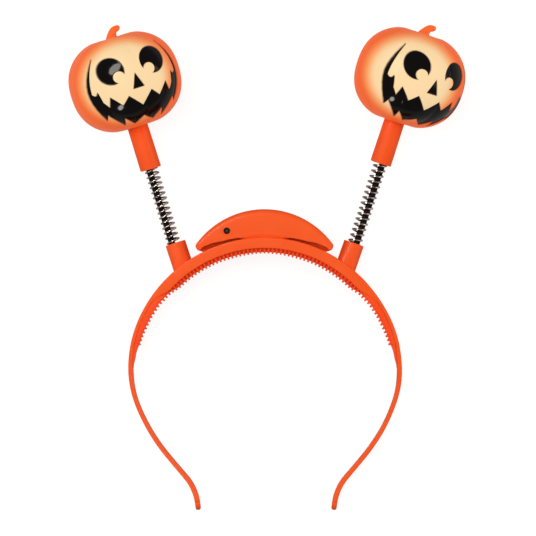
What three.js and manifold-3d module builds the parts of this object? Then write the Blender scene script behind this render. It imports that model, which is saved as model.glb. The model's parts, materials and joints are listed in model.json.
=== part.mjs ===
// Light-up pumpkin headband, lying on its back. Sizes are millimetres.
// In the band's own plane x runs to the right, y from the leg tips to the crown and z to the front, and the
// centre of the crown's arc is the origin. The finished part is then tipped about x until the backs of the
// pumpkins and the leg tips touch one floor, and moved so that the floor is z = 0.

import * as THREE from 'three';
import { mergeVertices } from 'three/addons/utils/BufferGeometryUtils.js';
import Module from 'manifold-3d';

const wasm = await Module();
wasm.setup();

// Clearance between neighbouring pieces, sides of a round piece and segments of a drawn arc
const GAP = 0.3;
const ROUND_SIDES = 16;
const CURVE_SEGMENTS = 6;

// Band: its outer edge from the crown to a leg tip, in stretches of constant bend (turn in degrees, inwards)
const CROWN_RADIUS = 68.7;
const CROWN_TURN = 64.5;
const BAND_STRETCHES = [
  { length: CROWN_RADIUS * radians(CROWN_TURN), turn: CROWN_TURN, steps: 14 },
  { length: 26, turn: 24.5, steps: 5 },
  { length: 20, turn: 22.5, steps: 4 },
  { length: 31, turn: 18.5, steps: 3 },
  { length: 13, turn: 0, steps: 1 },
  { length: 14, turn: -32.5, steps: 4 },
  { length: 3.4, turn: 0, steps: 3 },
];
// Band: depth from front to back and wall thickness, by distance from the crown along the outer edge
const BAND_SECTIONS = [
  { at: 0, depth: 20, wall: 2.4 },
  { at: 45, depth: 19.4, wall: 2.4 },
  { at: 85, depth: 14, wall: 2.2 },
  { at: 125, depth: 9.5, wall: 1.8 },
  { at: 182, depth: 7.4, wall: 1.8 },
];
const BAND_CHAMFER = 0.4;
const TIP_ROUNDING = 0.85;

// Rims: side walls of the wire channel, deep over the crown and run out towards the legs
const RIM_DEEP = 5.4;
const RIM_WALL = 1.4;
const RIM_INSET = 0.1;
const RIM_FADE_FROM = 56;
const RIM_FADE_TO = 69;

// Comb strip: how far its root and tooth tips lie in from the band's outer edge, by angle from the crown
const COMB_PROFILE = [
  { angle: 0, root: 5.3, tip: 8 },
  { angle: 46, root: 5.3, tip: 8 },
  { angle: 51, root: 5.1, tip: 6.5 },
  { angle: 57, root: 4.4, tip: 5.6 },
  { angle: 64, root: 4.05, tip: 5 },
  { angle: 77, root: 3.85, tip: 4.7 },
  { angle: 84, root: 2.9, tip: 2.9 },
];
const COMB_STEPS = 42;
const TOOTH_END_ANGLE = 76;
const TOOTH_COUNT = 81;
const TOOTH_WIDTH = 0.9;
const TOOTH_TAPER = 0.75;
const TOOTH_DEPTH = 2;
const TOOTH_ROW_OFFSET = 3.6;
const TOOTH_ROOT_SINK = 0.4;

// Battery case: crescent between an outer arc and the crown, with rounded ends
const CASE_TOP = 82.8;
const CASE_RADIUS = 42;
const CASE_END_ANGLE = 53.7;
const CASE_END_RADIUS = 2.3;
const CASE_DEPTH = 19;
const CASE_EDGE = 1.2;

// Push button in the front of the case
const BUTTON = { x: -18.75, y: 72, radius: 1.6, proud: 0.7, length: 4.2, travel: 0.5 };

// Spring posts, moulded on the crown
const POST_ANGLE = 36.65;
const POST_RADIUS = 5.15;
const POST_HEIGHT = 10.7;
const POST_SINK = 1.2;
const POST_SEAT_RADIUS = 4.6;
const CORE_LENGTH = 40;
const CORE_SIDES = 96;
const SEAT_DEPTH = 6;

// Springs: the same coil on both sides, stretched a little more on the right
const COIL_RADIUS = 3.15;
const WIRE_RADIUS = 0.36;
const WIRE_SIDES = 4;
const COIL_TURNS = 18;
const COIL_STEPS = 7;
// Lamp leads: inside the springs, bowed outwards between the post and the sleeve
const LEAD_RADIUS = 1.2;
const LEAD_BOW = 1.1;
const LEAD_SIDES = 8;
const LEAD_STEPS = 6;

// Boppers: lean of the post and of the spring from the crown line, how far outwards of the middle of its seat
// the spring stands, its clear length and the turn of the face, by side.
// The springs bow to the front by BOPPER_RISE, because the pumpkins on the floor carry part of the crown.
const BOPPER_RISE = 5;
const BOPPERS = [
  { side: 'left', sign: -1, postLean: 18.1, lean: 17.2, shift: 0.7, springClear: 39.8, faceTurn: 17.4 },
  { side: 'right', sign: 1, postLean: 19.1, lean: 18, shift: 0.3, springClear: 42.7, faceTurn: 25.3 },
];
const SLEEVE_RADIUS = 5.25;
const SLEEVE_SEAT_RADIUS = 4;
const SLEEVE_LENGTH = 26;
const SLEEVE_TO_PUMPKIN_CENTRE = 44.9;
const LEAD_BORE_RADIUS = 1.7;
const LAMP_RADIUS = 2.5;
const LAMP_BODY = 4;
const LAMP_SEAT_DEPTH = 2;
const LAMP_SIDES = 12;

// Pumpkins: hollow lobed shells with a dimple at both poles
const PUMPKIN_RADIUS = 28.1;
const PUMPKIN_HALF_HEIGHT = 23.9;
const PUMPKIN_FULLNESS = 0.85;
const LOBES = 8;
const GROOVE = 0.05;
const GROOVE_SHARPNESS = 0.8;
const DIMPLE_DEPTH = 3;
const DIMPLE_RADIUS = 7;
const SHELL_WALL = 1.8;
const SHELL_FACETS = { around: 4 * LOBES, upward: 14 };
const HOLLOW_FACETS = { around: 2 * LOBES, upward: 8 };

// Stem: centre line and radius, curling to the right
const STEM_SECTIONS = [
  { x: 0, y: 19.4, radius: 4.2 },
  { x: 0.1, y: 21.4, radius: 3 },
  { x: 0.6, y: 24, radius: 1.9 },
  { x: 2.2, y: 26.2, radius: 1.6 },
  { x: 4.4, y: 26.8, radius: 1.3 },
  { x: 5.5, y: 26.5, radius: 0.7 },
];
const STEM_SIDES = 7;

// Face, drawn flat as it is seen from its own front: half outlines from the middle outwards, mirrored
const FACE_SINK = 0.7;
const FACE_REACH = 40;
const EYE = { x: 10.8, y: 7.3, radiusX: 6.3, radiusY: 6.7 };
const EYE_NOTCH = { x: 7.9, y: 3.4, radius: 3.1 };
const NOSE = [{ x: 0, y: 2.8 }, { x: 2.8, y: -4.4 }, { x: -2.8, y: -4.4 }];
const MOUTH_LOWER = [
  { x: 0, y: -18.4 },
  { x: 4.9, y: -21.1 },
  { x: 9.9, y: -17.2 },
  { x: 9.5, y: -20.5 },
  { x: 17.2, y: -13.4 },
  { x: 17.6, y: -15.8 },
];
const MOUTH_HORN = [
  { x: 22.1, y: -4.5 },
  { x: 22.6, y: 1.4 },
  { x: 21.2, y: 7.5 },
  { x: 16.6, y: 15.3 },
  { x: 20.8, y: 4.6 },
  { x: 21.5, y: -1.5 },
  { x: 20.6, y: -2.9 },
  { x: 19.3, y: -1.3 },
];
const MOUTH_UPPER = [
  { x: 18.1, y: -6.9 },
  { x: 15.7, y: -10.3 },
  { x: 14.6, y: -5.4 },
  { x: 9.6, y: -11.1 },
  { x: 6, y: -7.3 },
  { x: 0, y: -13.5 },
];

// Search for the tilt at which the part rests
const STEEPEST_TILT = 20;
const TILT_ROUNDS = 30;

// Finishes
const FINISHES = {
  orangePlastic: { color: '#ff5a24', roughness: 0.42, metalness: 0 },
  orangeComb: { color: '#fb4a1c', roughness: 0.5, metalness: 0 },
  glowingShell: { color: '#ffa35c', roughness: 0.35, metalness: 0 },
  blackPlastic: { color: '#141210', roughness: 0.35, metalness: 0 },
  springSteel: { color: '#8d8078', roughness: 0.3, metalness: 1 },
  lampLens: { color: '#ffe2b4', roughness: 0.2, metalness: 0 },
};

function radians(degrees) {
  return THREE.MathUtils.degToRad(degrees);
}

// Value of one column of a table, eased between its rows
function tableValue(table, key, column, at) {
  const last = table.length - 1;
  let row = 0;
  while (row < last - 1 && at > table[row + 1][key]) {
    row += 1;
  }
  const low = table[row];
  const high = table[row + 1];
  const share = THREE.MathUtils.smoothstep(at, low[key], high[key]);
  return THREE.MathUtils.lerp(low[column], high[column], share);
}

// Evenly spaced values, both ends included
function spaced(from, to, steps) {
  return Array.from({ length: steps + 1 }, (_, i) => from + ((to - from) * i) / steps);
}

// Solids

// Closed solid of a three.js geometry, with shared vertices merged
function solid(geometry) {
  const bare = geometry.clone();
  bare.deleteAttribute('normal');
  bare.deleteAttribute('uv');
  const merged = mergeVertices(bare);
  const vertProperties = new Float32Array(merged.getAttribute('position').array);
  const triVerts = new Uint32Array(merged.getIndex().array);
  return new wasm.Manifold(new wasm.Mesh({ numProp: 3, vertProperties, triVerts }));
}

// Named mesh of a solid
function piece(name, finish, body) {
  const { vertProperties, triVerts } = body.getMesh();
  const geometry = new THREE.BufferGeometry();
  geometry.setAttribute('position', new THREE.BufferAttribute(vertProperties, 3));
  geometry.setIndex(new THREE.BufferAttribute(triVerts, 1));
  geometry.computeVertexNormals();
  const mesh = new THREE.Mesh(geometry, new THREE.MeshStandardMaterial(FINISHES[finish]));
  mesh.name = name;
  return mesh;
}

// Outline carried through a row of stations: place(station, x, y) gives the point of outline point x, y
function sweep(outline, stations, place) {
  const shape = new THREE.Shape(outline.map(({ x, y }) => new THREE.Vector2(x, y)));
  const steps = stations.length - 1;
  const geometry = new THREE.ExtrudeGeometry(shape, { depth: steps, steps, bevelEnabled: false });
  const points = geometry.getAttribute('position');
  for (let i = 0; i < points.count; i += 1) {
    const station = stations[Math.round(points.getZ(i))];
    const point = place(station, points.getX(i), points.getY(i));
    points.setXYZ(i, point.x, point.y, point.z);
  }
  return geometry;
}

// Regular polygon of unit radius, as an outline for sweeps
function polygon(sides) {
  return spaced(0, 2 * Math.PI, sides)
    .slice(0, sides)
    .map((angle) => ({ x: Math.cos(angle), y: Math.sin(angle) }));
}

// Band

const HALF_BAND = BAND_STRETCHES.reduce((sum, { length }) => sum + length, 0);

// Point and inward normal of the band's outer edge, by distance from the crown (negative to the left)
function bandEdge(distance) {
  const side = distance < 0 ? -1 : 1;
  let left = Math.abs(distance);
  let heading = 0;
  const point = new THREE.Vector2(0, CROWN_RADIUS);
  for (const { length, turn } of BAND_STRETCHES) {
    const run = Math.min(left, length);
    const bend = (radians(turn) * run) / length;
    const middle = heading + bend / 2;
    const chord = bend === 0 ? run : (2 * run * Math.sin(bend / 2)) / bend;
    point.x += chord * Math.cos(middle);
    point.y -= chord * Math.sin(middle);
    heading += bend;
    left -= run;
  }
  const normal = new THREE.Vector2(-Math.sin(heading), -Math.cos(heading));
  return { x: side * point.x, y: point.y, nx: side * normal.x, ny: normal.y };
}

// Point at a depth (to the front) and a distance inwards from the outer edge
function onBand(distance, depth, inward) {
  const edge = bandEdge(distance);
  return new THREE.Vector3(edge.x + edge.nx * inward, edge.y + edge.ny * inward, depth);
}

function bandDepth(distance) {
  const depth = tableValue(BAND_SECTIONS, 'at', 'depth', Math.abs(distance));
  const toTip = HALF_BAND - Math.abs(distance);
  const round = Math.min(1, toTip / (depth / 2));
  return depth * Math.sqrt(1 - TIP_ROUNDING * (1 - round) ** 2);
}

function bandWall(distance) {
  return tableValue(BAND_SECTIONS, 'at', 'wall', Math.abs(distance));
}

function rimHeight(distance) {
  const fade = THREE.MathUtils.smoothstep(Math.abs(distance), RIM_FADE_FROM, RIM_FADE_TO);
  return THREE.MathUtils.lerp(RIM_DEEP, bandWall(distance) - GAP, fade);
}

// Stations along the whole band, from the left tip to the right one
function bandStations() {
  const half = [0];
  for (const { length, steps } of BAND_STRETCHES) {
    const start = half[half.length - 1];
    half.push(...spaced(start, start + length, steps).slice(1));
  }
  const left = half.slice(1).reverse().map((distance) => -distance);
  return [...left, ...half];
}

// Strip with chamfered outer edges: outline points at 2 lie on a face, and at 1 one chamfer in from it
const STRIP_OUTLINE = [
  { x: -1, y: -2 },
  { x: 1, y: -2 },
  { x: 2, y: -1 },
  { x: 2, y: 2 },
  { x: -2, y: 2 },
  { x: -2, y: -1 },
];

function fromMiddle(level, half) {
  return Math.sign(level) * (half - (2 - Math.abs(level)) * BAND_CHAMFER);
}

function bandStrip() {
  return sweep(STRIP_OUTLINE, bandStations(), (distance, x, y) => {
    const halfDepth = bandDepth(distance) / 2;
    const halfWall = bandWall(distance) / 2;
    return onBand(distance, fromMiddle(x, halfDepth), halfWall + fromMiddle(y, halfWall));
  });
}

const UNIT_SQUARE = [{ x: 0, y: 0 }, { x: 1, y: 0 }, { x: 1, y: 1 }, { x: 0, y: 1 }];

// One rim of the channel: front is 1 for the front rim and -1 for the back one
function bandRim(front) {
  const stations = bandStations().filter((distance) => Math.abs(distance) <= RIM_FADE_TO);
  return sweep(UNIT_SQUARE, stations, (distance, x, y) => {
    const outerFace = front * (bandDepth(distance) / 2 - RIM_INSET);
    const near = front > 0 ? outerFace - RIM_WALL : outerFace;
    return onBand(distance, near + x * RIM_WALL, BAND_CHAMFER + y * (rimHeight(distance) - BAND_CHAMFER));
  });
}

// Cylinder from one height to another on an upright axis
function axisCylinder(radius, from, to) {
  return new THREE.CylinderGeometry(radius, radius, to - from, ROUND_SIDES).translate(0, (from + to) / 2, 0);
}

// Place of a post: it starts on the crown's outer edge and leans outwards
function postMatrix({ sign, postLean }) {
  const angle = radians(POST_ANGLE);
  const place = new THREE.Matrix4().makeRotationZ(-sign * radians(postLean));
  return place.setPosition(sign * CROWN_RADIUS * Math.sin(angle), CROWN_RADIUS * Math.cos(angle), 0);
}

// Post from the rim of its seat down to a foot that follows the crown, inside the strip's wall
function postBody(place) {
  const footRadius = CROWN_RADIUS - POST_SINK;
  const core = new THREE.CylinderGeometry(footRadius, footRadius, CORE_LENGTH, CORE_SIDES);
  const post = axisCylinder(POST_RADIUS, -POST_HEIGHT, POST_HEIGHT).applyMatrix4(place);
  return solid(post).subtract(solid(core.rotateX(Math.PI / 2)));
}

function bandBody() {
  let body = solid(bandStrip()).add(solid(bandRim(1))).add(solid(bandRim(-1)));
  for (const bopper of BOPPERS) {
    const place = postMatrix(bopper);
    const seat = axisCylinder(POST_SEAT_RADIUS, POST_HEIGHT - SEAT_DEPTH, POST_HEIGHT + SEAT_DEPTH);
    body = body.add(postBody(place)).subtract(solid(seat.applyMatrix4(place)));
  }
  return body;
}

// Comb strip

function combBase() {
  const end = COMB_PROFILE[COMB_PROFILE.length - 1].angle;
  return sweep(UNIT_SQUARE, spaced(-end, end, COMB_STEPS), (angle, x, y) => {
    const distance = CROWN_RADIUS * radians(angle);
    const width = bandDepth(distance) - 2 * (RIM_WALL + GAP);
    const top = bandWall(distance) + GAP;
    const root = tableValue(COMB_PROFILE, 'angle', 'root', Math.abs(angle));
    return onBand(distance, (x - 0.5) * width, top + y * (root - top));
  });
}

// One tooth: a tapered peg that stands in from the strip towards the head
function combTooth(angle, depth) {
  const root = tableValue(COMB_PROFILE, 'angle', 'root', Math.abs(angle)) - TOOTH_ROOT_SINK;
  const tip = tableValue(COMB_PROFILE, 'angle', 'tip', Math.abs(angle));
  const corner = TOOTH_WIDTH / Math.SQRT2;
  const peg = new THREE.CylinderGeometry(corner, corner * TOOTH_TAPER, tip - root, 4, 1);
  peg.rotateY(Math.PI / 4);
  peg.scale(1, 1, TOOTH_DEPTH / TOOTH_WIDTH);
  peg.translate(0, CROWN_RADIUS - (root + tip) / 2, depth);
  return peg.rotateZ(-radians(angle));
}

function combBody() {
  const angles = spaced(-TOOTH_END_ANGLE, TOOTH_END_ANGLE, TOOTH_COUNT - 1);
  return angles.reduce((body, angle, i) => {
    const row = i % 2 === 0 ? TOOTH_ROW_OFFSET : -TOOTH_ROW_OFFSET;
    return body.add(solid(combTooth(angle, row)));
  }, solid(combBase()));
}

// Battery case

function caseOutline() {
  const outerY = CASE_TOP - CASE_RADIUS;
  const endAngle = radians(CASE_END_ANGLE);
  const endX = (CASE_RADIUS - CASE_END_RADIUS) * Math.sin(endAngle);
  const endY = outerY + (CASE_RADIUS - CASE_END_RADIUS) * Math.cos(endAngle);
  // Lower arc: clear of the crown in the middle and tangent to both rounded ends
  const seatY = CROWN_RADIUS + GAP;
  const drop = seatY - endY;
  const seatRadius = (endX ** 2 + drop ** 2 - CASE_END_RADIUS ** 2) / (2 * (drop + CASE_END_RADIUS));
  const seatAngle = Math.asin(endX / (seatRadius + CASE_END_RADIUS));
  const right = Math.PI / 2;
  const shape = new THREE.Shape();
  shape.absarc(0, outerY, CASE_RADIUS, right - endAngle, right + endAngle, false);
  shape.absarc(-endX, endY, CASE_END_RADIUS, right + endAngle, 3 * right + seatAngle, false);
  shape.absarc(0, seatY - seatRadius, seatRadius, right + seatAngle, right - seatAngle, true);
  shape.absarc(endX, endY, CASE_END_RADIUS, -right - seatAngle, right - endAngle, false);
  return shape;
}

function caseBody() {
  const depth = CASE_DEPTH - 2 * CASE_EDGE;
  const block = new THREE.ExtrudeGeometry(caseOutline(), {
    depth,
    curveSegments: CURVE_SEGMENTS,
    bevelThickness: CASE_EDGE,
    bevelSize: CASE_EDGE,
    bevelOffset: -CASE_EDGE,
    bevelSegments: 2,
  });
  const boreRadius = BUTTON.radius + GAP;
  const bore = new THREE.CylinderGeometry(boreRadius, boreRadius, CASE_DEPTH, ROUND_SIDES);
  bore.rotateX(Math.PI / 2);
  bore.translate(BUTTON.x, BUTTON.y, CASE_DEPTH - buttonReach());
  return solid(block.translate(0, 0, -depth / 2)).subtract(solid(bore));
}

// Depth of the button's bore: its sunk length, its travel and the clearance under it
function buttonReach() {
  return BUTTON.length - BUTTON.proud + BUTTON.travel + GAP;
}

function buttonBody() {
  const cap = new THREE.CylinderGeometry(BUTTON.radius, BUTTON.radius, BUTTON.length, ROUND_SIDES);
  cap.rotateX(Math.PI / 2);
  return solid(cap.translate(BUTTON.x, BUTTON.y, CASE_DEPTH / 2 + BUTTON.proud - BUTTON.length / 2));
}

// Boppers: y runs up the axis from the rim of the post, and heights are measured along the bowed axis

// Place of a bopper's axis: it starts at the post's rim, beside the middle of the seat
function bopperMatrix(bopper) {
  const { sign, lean, shift } = bopper;
  const start = new THREE.Vector3(sign * shift, POST_HEIGHT, 0).applyMatrix4(postMatrix(bopper));
  return new THREE.Matrix4().makeRotationZ(-sign * radians(lean)).setPosition(start);
}

// Place of a cross-section on the bowed axis: straight in the post, an arc over the clear spring, straight above
function axisFrame({ springClear }, height) {
  const bend = radians(BOPPER_RISE);
  const onArc = THREE.MathUtils.clamp(height, 0, springClear);
  const angle = (bend * onArc) / springClear;
  const radius = springClear / bend;
  const past = height - onArc;
  const frame = new THREE.Matrix4().makeRotationX(angle);
  return frame.setPosition(
    0,
    radius * Math.sin(angle) + past * Math.cos(angle),
    radius * (1 - Math.cos(angle)) + past * Math.sin(angle),
  );
}

function springBody(bopper) {
  const low = GAP + WIRE_RADIUS - SEAT_DEPTH;
  const high = bopper.springClear - low;
  const stations = spaced(0, 1, COIL_TURNS * COIL_STEPS);
  return solid(
    sweep(polygon(WIRE_SIDES), stations, (share, along, out) => {
      const angle = share * COIL_TURNS * 2 * Math.PI;
      const radius = COIL_RADIUS + out * WIRE_RADIUS;
      const point = new THREE.Vector3(radius * Math.cos(angle), along * WIRE_RADIUS, -radius * Math.sin(angle));
      return point.applyMatrix4(axisFrame(bopper, THREE.MathUtils.lerp(low, high, share)));
    }),
  );
}

function leadBody(bopper) {
  const { sign, springClear } = bopper;
  const low = GAP - SEAT_DEPTH;
  const high = springClear + SLEEVE_LENGTH - LAMP_SEAT_DEPTH - GAP;
  const stations = [low, ...spaced(0, springClear, LEAD_STEPS), high];
  return solid(
    sweep(polygon(LEAD_SIDES), stations, (height, x, y) => {
      const share = THREE.MathUtils.clamp(height / springClear, 0, 1);
      const bow = sign * LEAD_BOW * Math.sin(share * Math.PI);
      const point = new THREE.Vector3(bow + LEAD_RADIUS * y, 0, LEAD_RADIUS * x);
      return point.applyMatrix4(axisFrame(bopper, height));
    }),
  );
}

// Above the springs: y runs up the axis from the lower end of the sleeve

// Solid turned about the axis from rows of radius and height
function turned(rows, sides) {
  const profile = rows.map(([radius, height]) => new THREE.Vector2(radius, height));
  return solid(new THREE.LatheGeometry(profile, sides));
}

function sleeveBody() {
  const lampSeat = LAMP_RADIUS + GAP;
  const lampFloor = SLEEVE_LENGTH - LAMP_SEAT_DEPTH;
  const rows = [
    [SLEEVE_SEAT_RADIUS, 0],
    [SLEEVE_RADIUS, 0],
    [SLEEVE_RADIUS, SLEEVE_LENGTH],
    [lampSeat, SLEEVE_LENGTH],
    [lampSeat, lampFloor],
    [LEAD_BORE_RADIUS, lampFloor],
    [LEAD_BORE_RADIUS, SEAT_DEPTH],
    [SLEEVE_SEAT_RADIUS, SEAT_DEPTH],
    [SLEEVE_SEAT_RADIUS, 0],
  ];
  return turned(rows, ROUND_SIDES);
}

function lampBody() {
  const low = SLEEVE_LENGTH - LAMP_SEAT_DEPTH + GAP;
  const dome = spaced(0, Math.PI / 2, LAMP_SIDES / 4).map((angle) => [
    LAMP_RADIUS * Math.cos(angle),
    low + LAMP_BODY + LAMP_RADIUS * Math.sin(angle),
  ]);
  dome[dome.length - 1][0] = 0;
  return turned([[0, low], [LAMP_RADIUS, low], ...dome], LAMP_SIDES);
}

// Pumpkins: y is the axis, z the face's side and the centre is the origin

// Lobed, dimpled ball: an ellipse filled out by the fullness, pressed in at the grooves and the poles
function pumpkinBall(inset, { around, upward }) {
  const ball = new THREE.SphereGeometry(1, around, upward);
  const points = ball.getAttribute('position');
  const point = new THREE.Vector3();
  for (let i = 0; i < points.count; i += 1) {
    point.fromBufferAttribute(points, i);
    const longitude = Math.atan2(point.x, point.z);
    const across = Math.min(1, Math.hypot(point.x, point.z));
    const lobe = 1 - Math.abs(Math.cos((LOBES * longitude) / 2)) ** GROOVE_SHARPNESS;
    const radius = PUMPKIN_RADIUS * across ** PUMPKIN_FULLNESS * (1 - GROOVE * lobe);
    const dimple = DIMPLE_DEPTH * Math.exp(-((radius / DIMPLE_RADIUS) ** 2));
    const height = PUMPKIN_HALF_HEIGHT * Math.abs(point.y) ** PUMPKIN_FULLNESS - dimple;
    point.set(
      radius * Math.sin(longitude),
      Math.sign(point.y) * Math.max(0, height),
      radius * Math.cos(longitude),
    );
    point.setLength(point.length() - inset);
    points.setXYZ(i, point.x, point.y, point.z);
  }
  return ball;
}

function stemBody() {
  const rows = STEM_SECTIONS;
  const stations = rows.map((_, i) => i);
  return solid(
    sweep(polygon(STEM_SIDES), stations, (i, x, y) => {
      const before = rows[Math.max(0, i - 1)];
      const after = rows[Math.min(rows.length - 1, i + 1)];
      const heading = Math.atan2(after.y - before.y, after.x - before.x);
      const { x: centreX, y: centreY, radius } = rows[i];
      return new THREE.Vector3(
        centreX + radius * y * Math.sin(heading),
        centreY - radius * y * Math.cos(heading),
        radius * x,
      );
    }),
  );
}

// Straight prism of a flat drawing, from the middle of the pumpkin out to its front
function prism(shape) {
  return solid(new THREE.ExtrudeGeometry(shape, { depth: FACE_REACH, bevelEnabled: false, curveSegments: CURVE_SEGMENTS }));
}

function disc(x, y, radiusX, radiusY) {
  return new THREE.Shape().absellipse(x, y, radiusX, radiusY, 0, 2 * Math.PI, false, 0);
}

// Half outline and its mirror image, as one closed outline
function mirrored(half) {
  const other = half.slice(1, -1).reverse().map(({ x, y }) => ({ x: -x, y }));
  return [...half, ...other];
}

function outlineShape(points) {
  return new THREE.Shape(points.map(({ x, y }) => new THREE.Vector2(x, y)));
}

function faceBody() {
  const mouth = outlineShape(mirrored([...MOUTH_LOWER, ...MOUTH_HORN, ...MOUTH_UPPER]));
  let face = prism(mouth).add(prism(outlineShape(NOSE)));
  for (const side of [-1, 1]) {
    const eye = disc(side * EYE.x, EYE.y, EYE.radiusX, EYE.radiusY);
    const notch = disc(side * EYE_NOTCH.x, EYE_NOTCH.y, EYE_NOTCH.radius, EYE_NOTCH.radius);
    face = face.add(prism(eye).subtract(prism(notch)));
  }
  return face;
}

function pumpkinBody() {
  const outside = solid(pumpkinBall(0, SHELL_FACETS));
  const underFace = solid(pumpkinBall(FACE_SINK, SHELL_FACETS));
  const hollow = solid(pumpkinBall(SHELL_WALL, HOLLOW_FACETS));
  const neck = solid(axisCylinder(SLEEVE_RADIUS + GAP, -PUMPKIN_HALF_HEIGHT, 0));
  const sunkFace = faceBody().subtract(underFace);
  return outside.add(stemBody()).subtract(sunkFace).subtract(hollow).subtract(neck);
}

// Assembly

function bopperGroup(bopper) {
  const { side } = bopper;
  const pumpkin = piece(`${side}_pumpkin`, 'glowingShell', pumpkinBody());
  pumpkin.position.y = SLEEVE_TO_PUMPKIN_CENTRE;
  pumpkin.rotation.y = radians(bopper.faceTurn);
  const head = new THREE.Group();
  head.add(
    piece(`${side}_sleeve`, 'orangePlastic', sleeveBody()),
    piece(`${side}_lamp`, 'lampLens', lampBody()),
    pumpkin,
  );
  head.applyMatrix4(axisFrame(bopper, bopper.springClear));
  const group = new THREE.Group();
  group.add(
    piece(`${side}_spring`, 'springSteel', springBody(bopper)),
    piece(`${side}_lead`, 'blackPlastic', leadBody(bopper)),
    head,
  );
  group.applyMatrix4(bopperMatrix(bopper));
  return group;
}

// Height of a mesh's lowest point when the part is tipped about x
function lowestPoint(mesh, tilt) {
  const points = mesh.geometry.getAttribute('position');
  const point = new THREE.Vector3();
  let lowest = Infinity;
  for (let i = 0; i < points.count; i += 1) {
    point.fromBufferAttribute(points, i).applyMatrix4(mesh.matrixWorld);
    lowest = Math.min(lowest, point.y * Math.sin(tilt) + point.z * Math.cos(tilt));
  }
  return lowest;
}

// Tilt at which the pumpkins and the leg tips touch one floor, found by halving an interval
function restingTilt(group) {
  group.updateMatrixWorld(true);
  const band = group.getObjectByName('band');
  const pumpkins = BOPPERS.map(({ side }) => group.getObjectByName(`${side}_pumpkin`));
  let low = 0;
  let high = radians(STEEPEST_TILT);
  for (let round = 0; round < TILT_ROUNDS; round += 1) {
    const middle = (low + high) / 2;
    const pumpkinsLower = Math.min(...pumpkins.map((mesh) => lowestPoint(mesh, middle)));
    if (pumpkinsLower < lowestPoint(band, middle)) {
      low = middle;
    } else {
      high = middle;
    }
  }
  return (low + high) / 2;
}

const headband = new THREE.Group();
headband.add(
  piece('band', 'orangePlastic', bandBody()),
  piece('comb_strip', 'orangeComb', combBody()),
  piece('battery_case', 'orangePlastic', caseBody()),
  piece('switch_button', 'blackPlastic', buttonBody()),
  ...BOPPERS.map(bopperGroup),
);
headband.rotation.x = restingTilt(headband);
const box = new THREE.Box3().setFromObject(headband, true);
const middle = box.getCenter(new THREE.Vector3());
headband.position.set(-middle.x, -middle.y, -box.min.z);

export default headband;
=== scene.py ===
"""Light-up pumpkin headband: the dressed model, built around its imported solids.

Shapes are worked out in the band's own frame (x to the right, y from the leg tips to the crown, z to the
front, origin at the centre of the crown's arc) and then moved into the row frame. Lengths are metres, but the
tables give millimetres and degrees where they don't name the unit.
"""

import json
import math

import bpy
import numpy as np
from bpy.props import FloatProperty, FloatVectorProperty, IntProperty, PointerProperty
from mathutils import Matrix, Vector


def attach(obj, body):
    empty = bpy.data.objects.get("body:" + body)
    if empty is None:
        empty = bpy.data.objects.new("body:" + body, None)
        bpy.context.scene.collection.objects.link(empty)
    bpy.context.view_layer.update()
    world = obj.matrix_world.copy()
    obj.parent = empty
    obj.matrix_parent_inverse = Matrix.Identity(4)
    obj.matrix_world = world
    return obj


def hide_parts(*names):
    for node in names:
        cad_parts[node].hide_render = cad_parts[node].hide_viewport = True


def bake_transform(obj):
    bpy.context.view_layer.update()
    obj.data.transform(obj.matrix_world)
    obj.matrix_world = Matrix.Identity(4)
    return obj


bl_info = {
    "name": "Pumpkin Headband",
    "version": (1, 0, 0),
    "blender": (4, 5, 0),
    "location": "3D View > Sidebar > Headband",
    "description": "Dresses the packed solids of a light-up pumpkin headband",
    "category": "Object",
}

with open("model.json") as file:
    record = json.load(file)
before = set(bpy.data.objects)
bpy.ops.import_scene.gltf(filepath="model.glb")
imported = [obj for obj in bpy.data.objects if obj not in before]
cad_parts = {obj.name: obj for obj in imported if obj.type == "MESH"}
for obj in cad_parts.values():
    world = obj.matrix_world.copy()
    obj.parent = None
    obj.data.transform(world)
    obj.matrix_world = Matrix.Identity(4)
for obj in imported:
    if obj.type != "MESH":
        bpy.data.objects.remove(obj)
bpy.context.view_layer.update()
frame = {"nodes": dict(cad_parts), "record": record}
MM = 0.001
BLACK = (0, 0, 0, 1)
WHITE = (1, 1, 1, 1)

# Place of the band's own frame in the row frame, from the record's mounts and the head seat's place in the
# band's frame
MOUNTS = {mount["name"]: mount for mount in frame["record"]["mounts"]}
FRONT = MOUNTS["case_front"]["axis"]
TIP = np.array(Matrix.Rotation(math.atan2(-FRONT[1], FRONT[2]), 3, "X"))
HEAD_SEAT = np.array([0, 60.7, 0]) * MM
CROWN_CENTRE = np.array(MOUNTS["head_seat"]["pos_m"]) - TIP @ HEAD_SEAT

# Band: outer edge from the crown to a leg tip, as stretches of (length in metres, inward turn in degrees)
CROWN_RADIUS = 68.7 * MM
CROWN_TURN = 64.5
STRETCHES = [
    (CROWN_RADIUS * math.radians(CROWN_TURN), CROWN_TURN),
    (26 * MM, 24.5),
    (20 * MM, 22.5),
    (31 * MM, 18.5),
    (13 * MM, 0),
    (14 * MM, -32.5),
    (3.4 * MM, 0),
]
HALF_BAND = sum(run for run, turn in STRETCHES)
# Band: depth from front to back and wall thickness, by distance from the crown
BAND_DEPTH = [(0, 20), (45, 19.4), (85, 14), (125, 9.5), (182, 7.4)]
BAND_WALL = [(0, 2.4), (46, 2.4), (64, 1.7), (90, 1.8), (106, 2.25), (125, 2.05), (158, 2.2), (180, 2.5)]
# Band: how far the right leg is spread beyond the left one, by distance from the crown
LEG_SPREAD = [(60, 0), (95, 0.45), (118, 0.9), (140, 1.4), (160, 1.6)]
# Rims: they run out between these distances from the crown, in metres
RIM_FADE = (56 * MM, 69 * MM)

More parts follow.
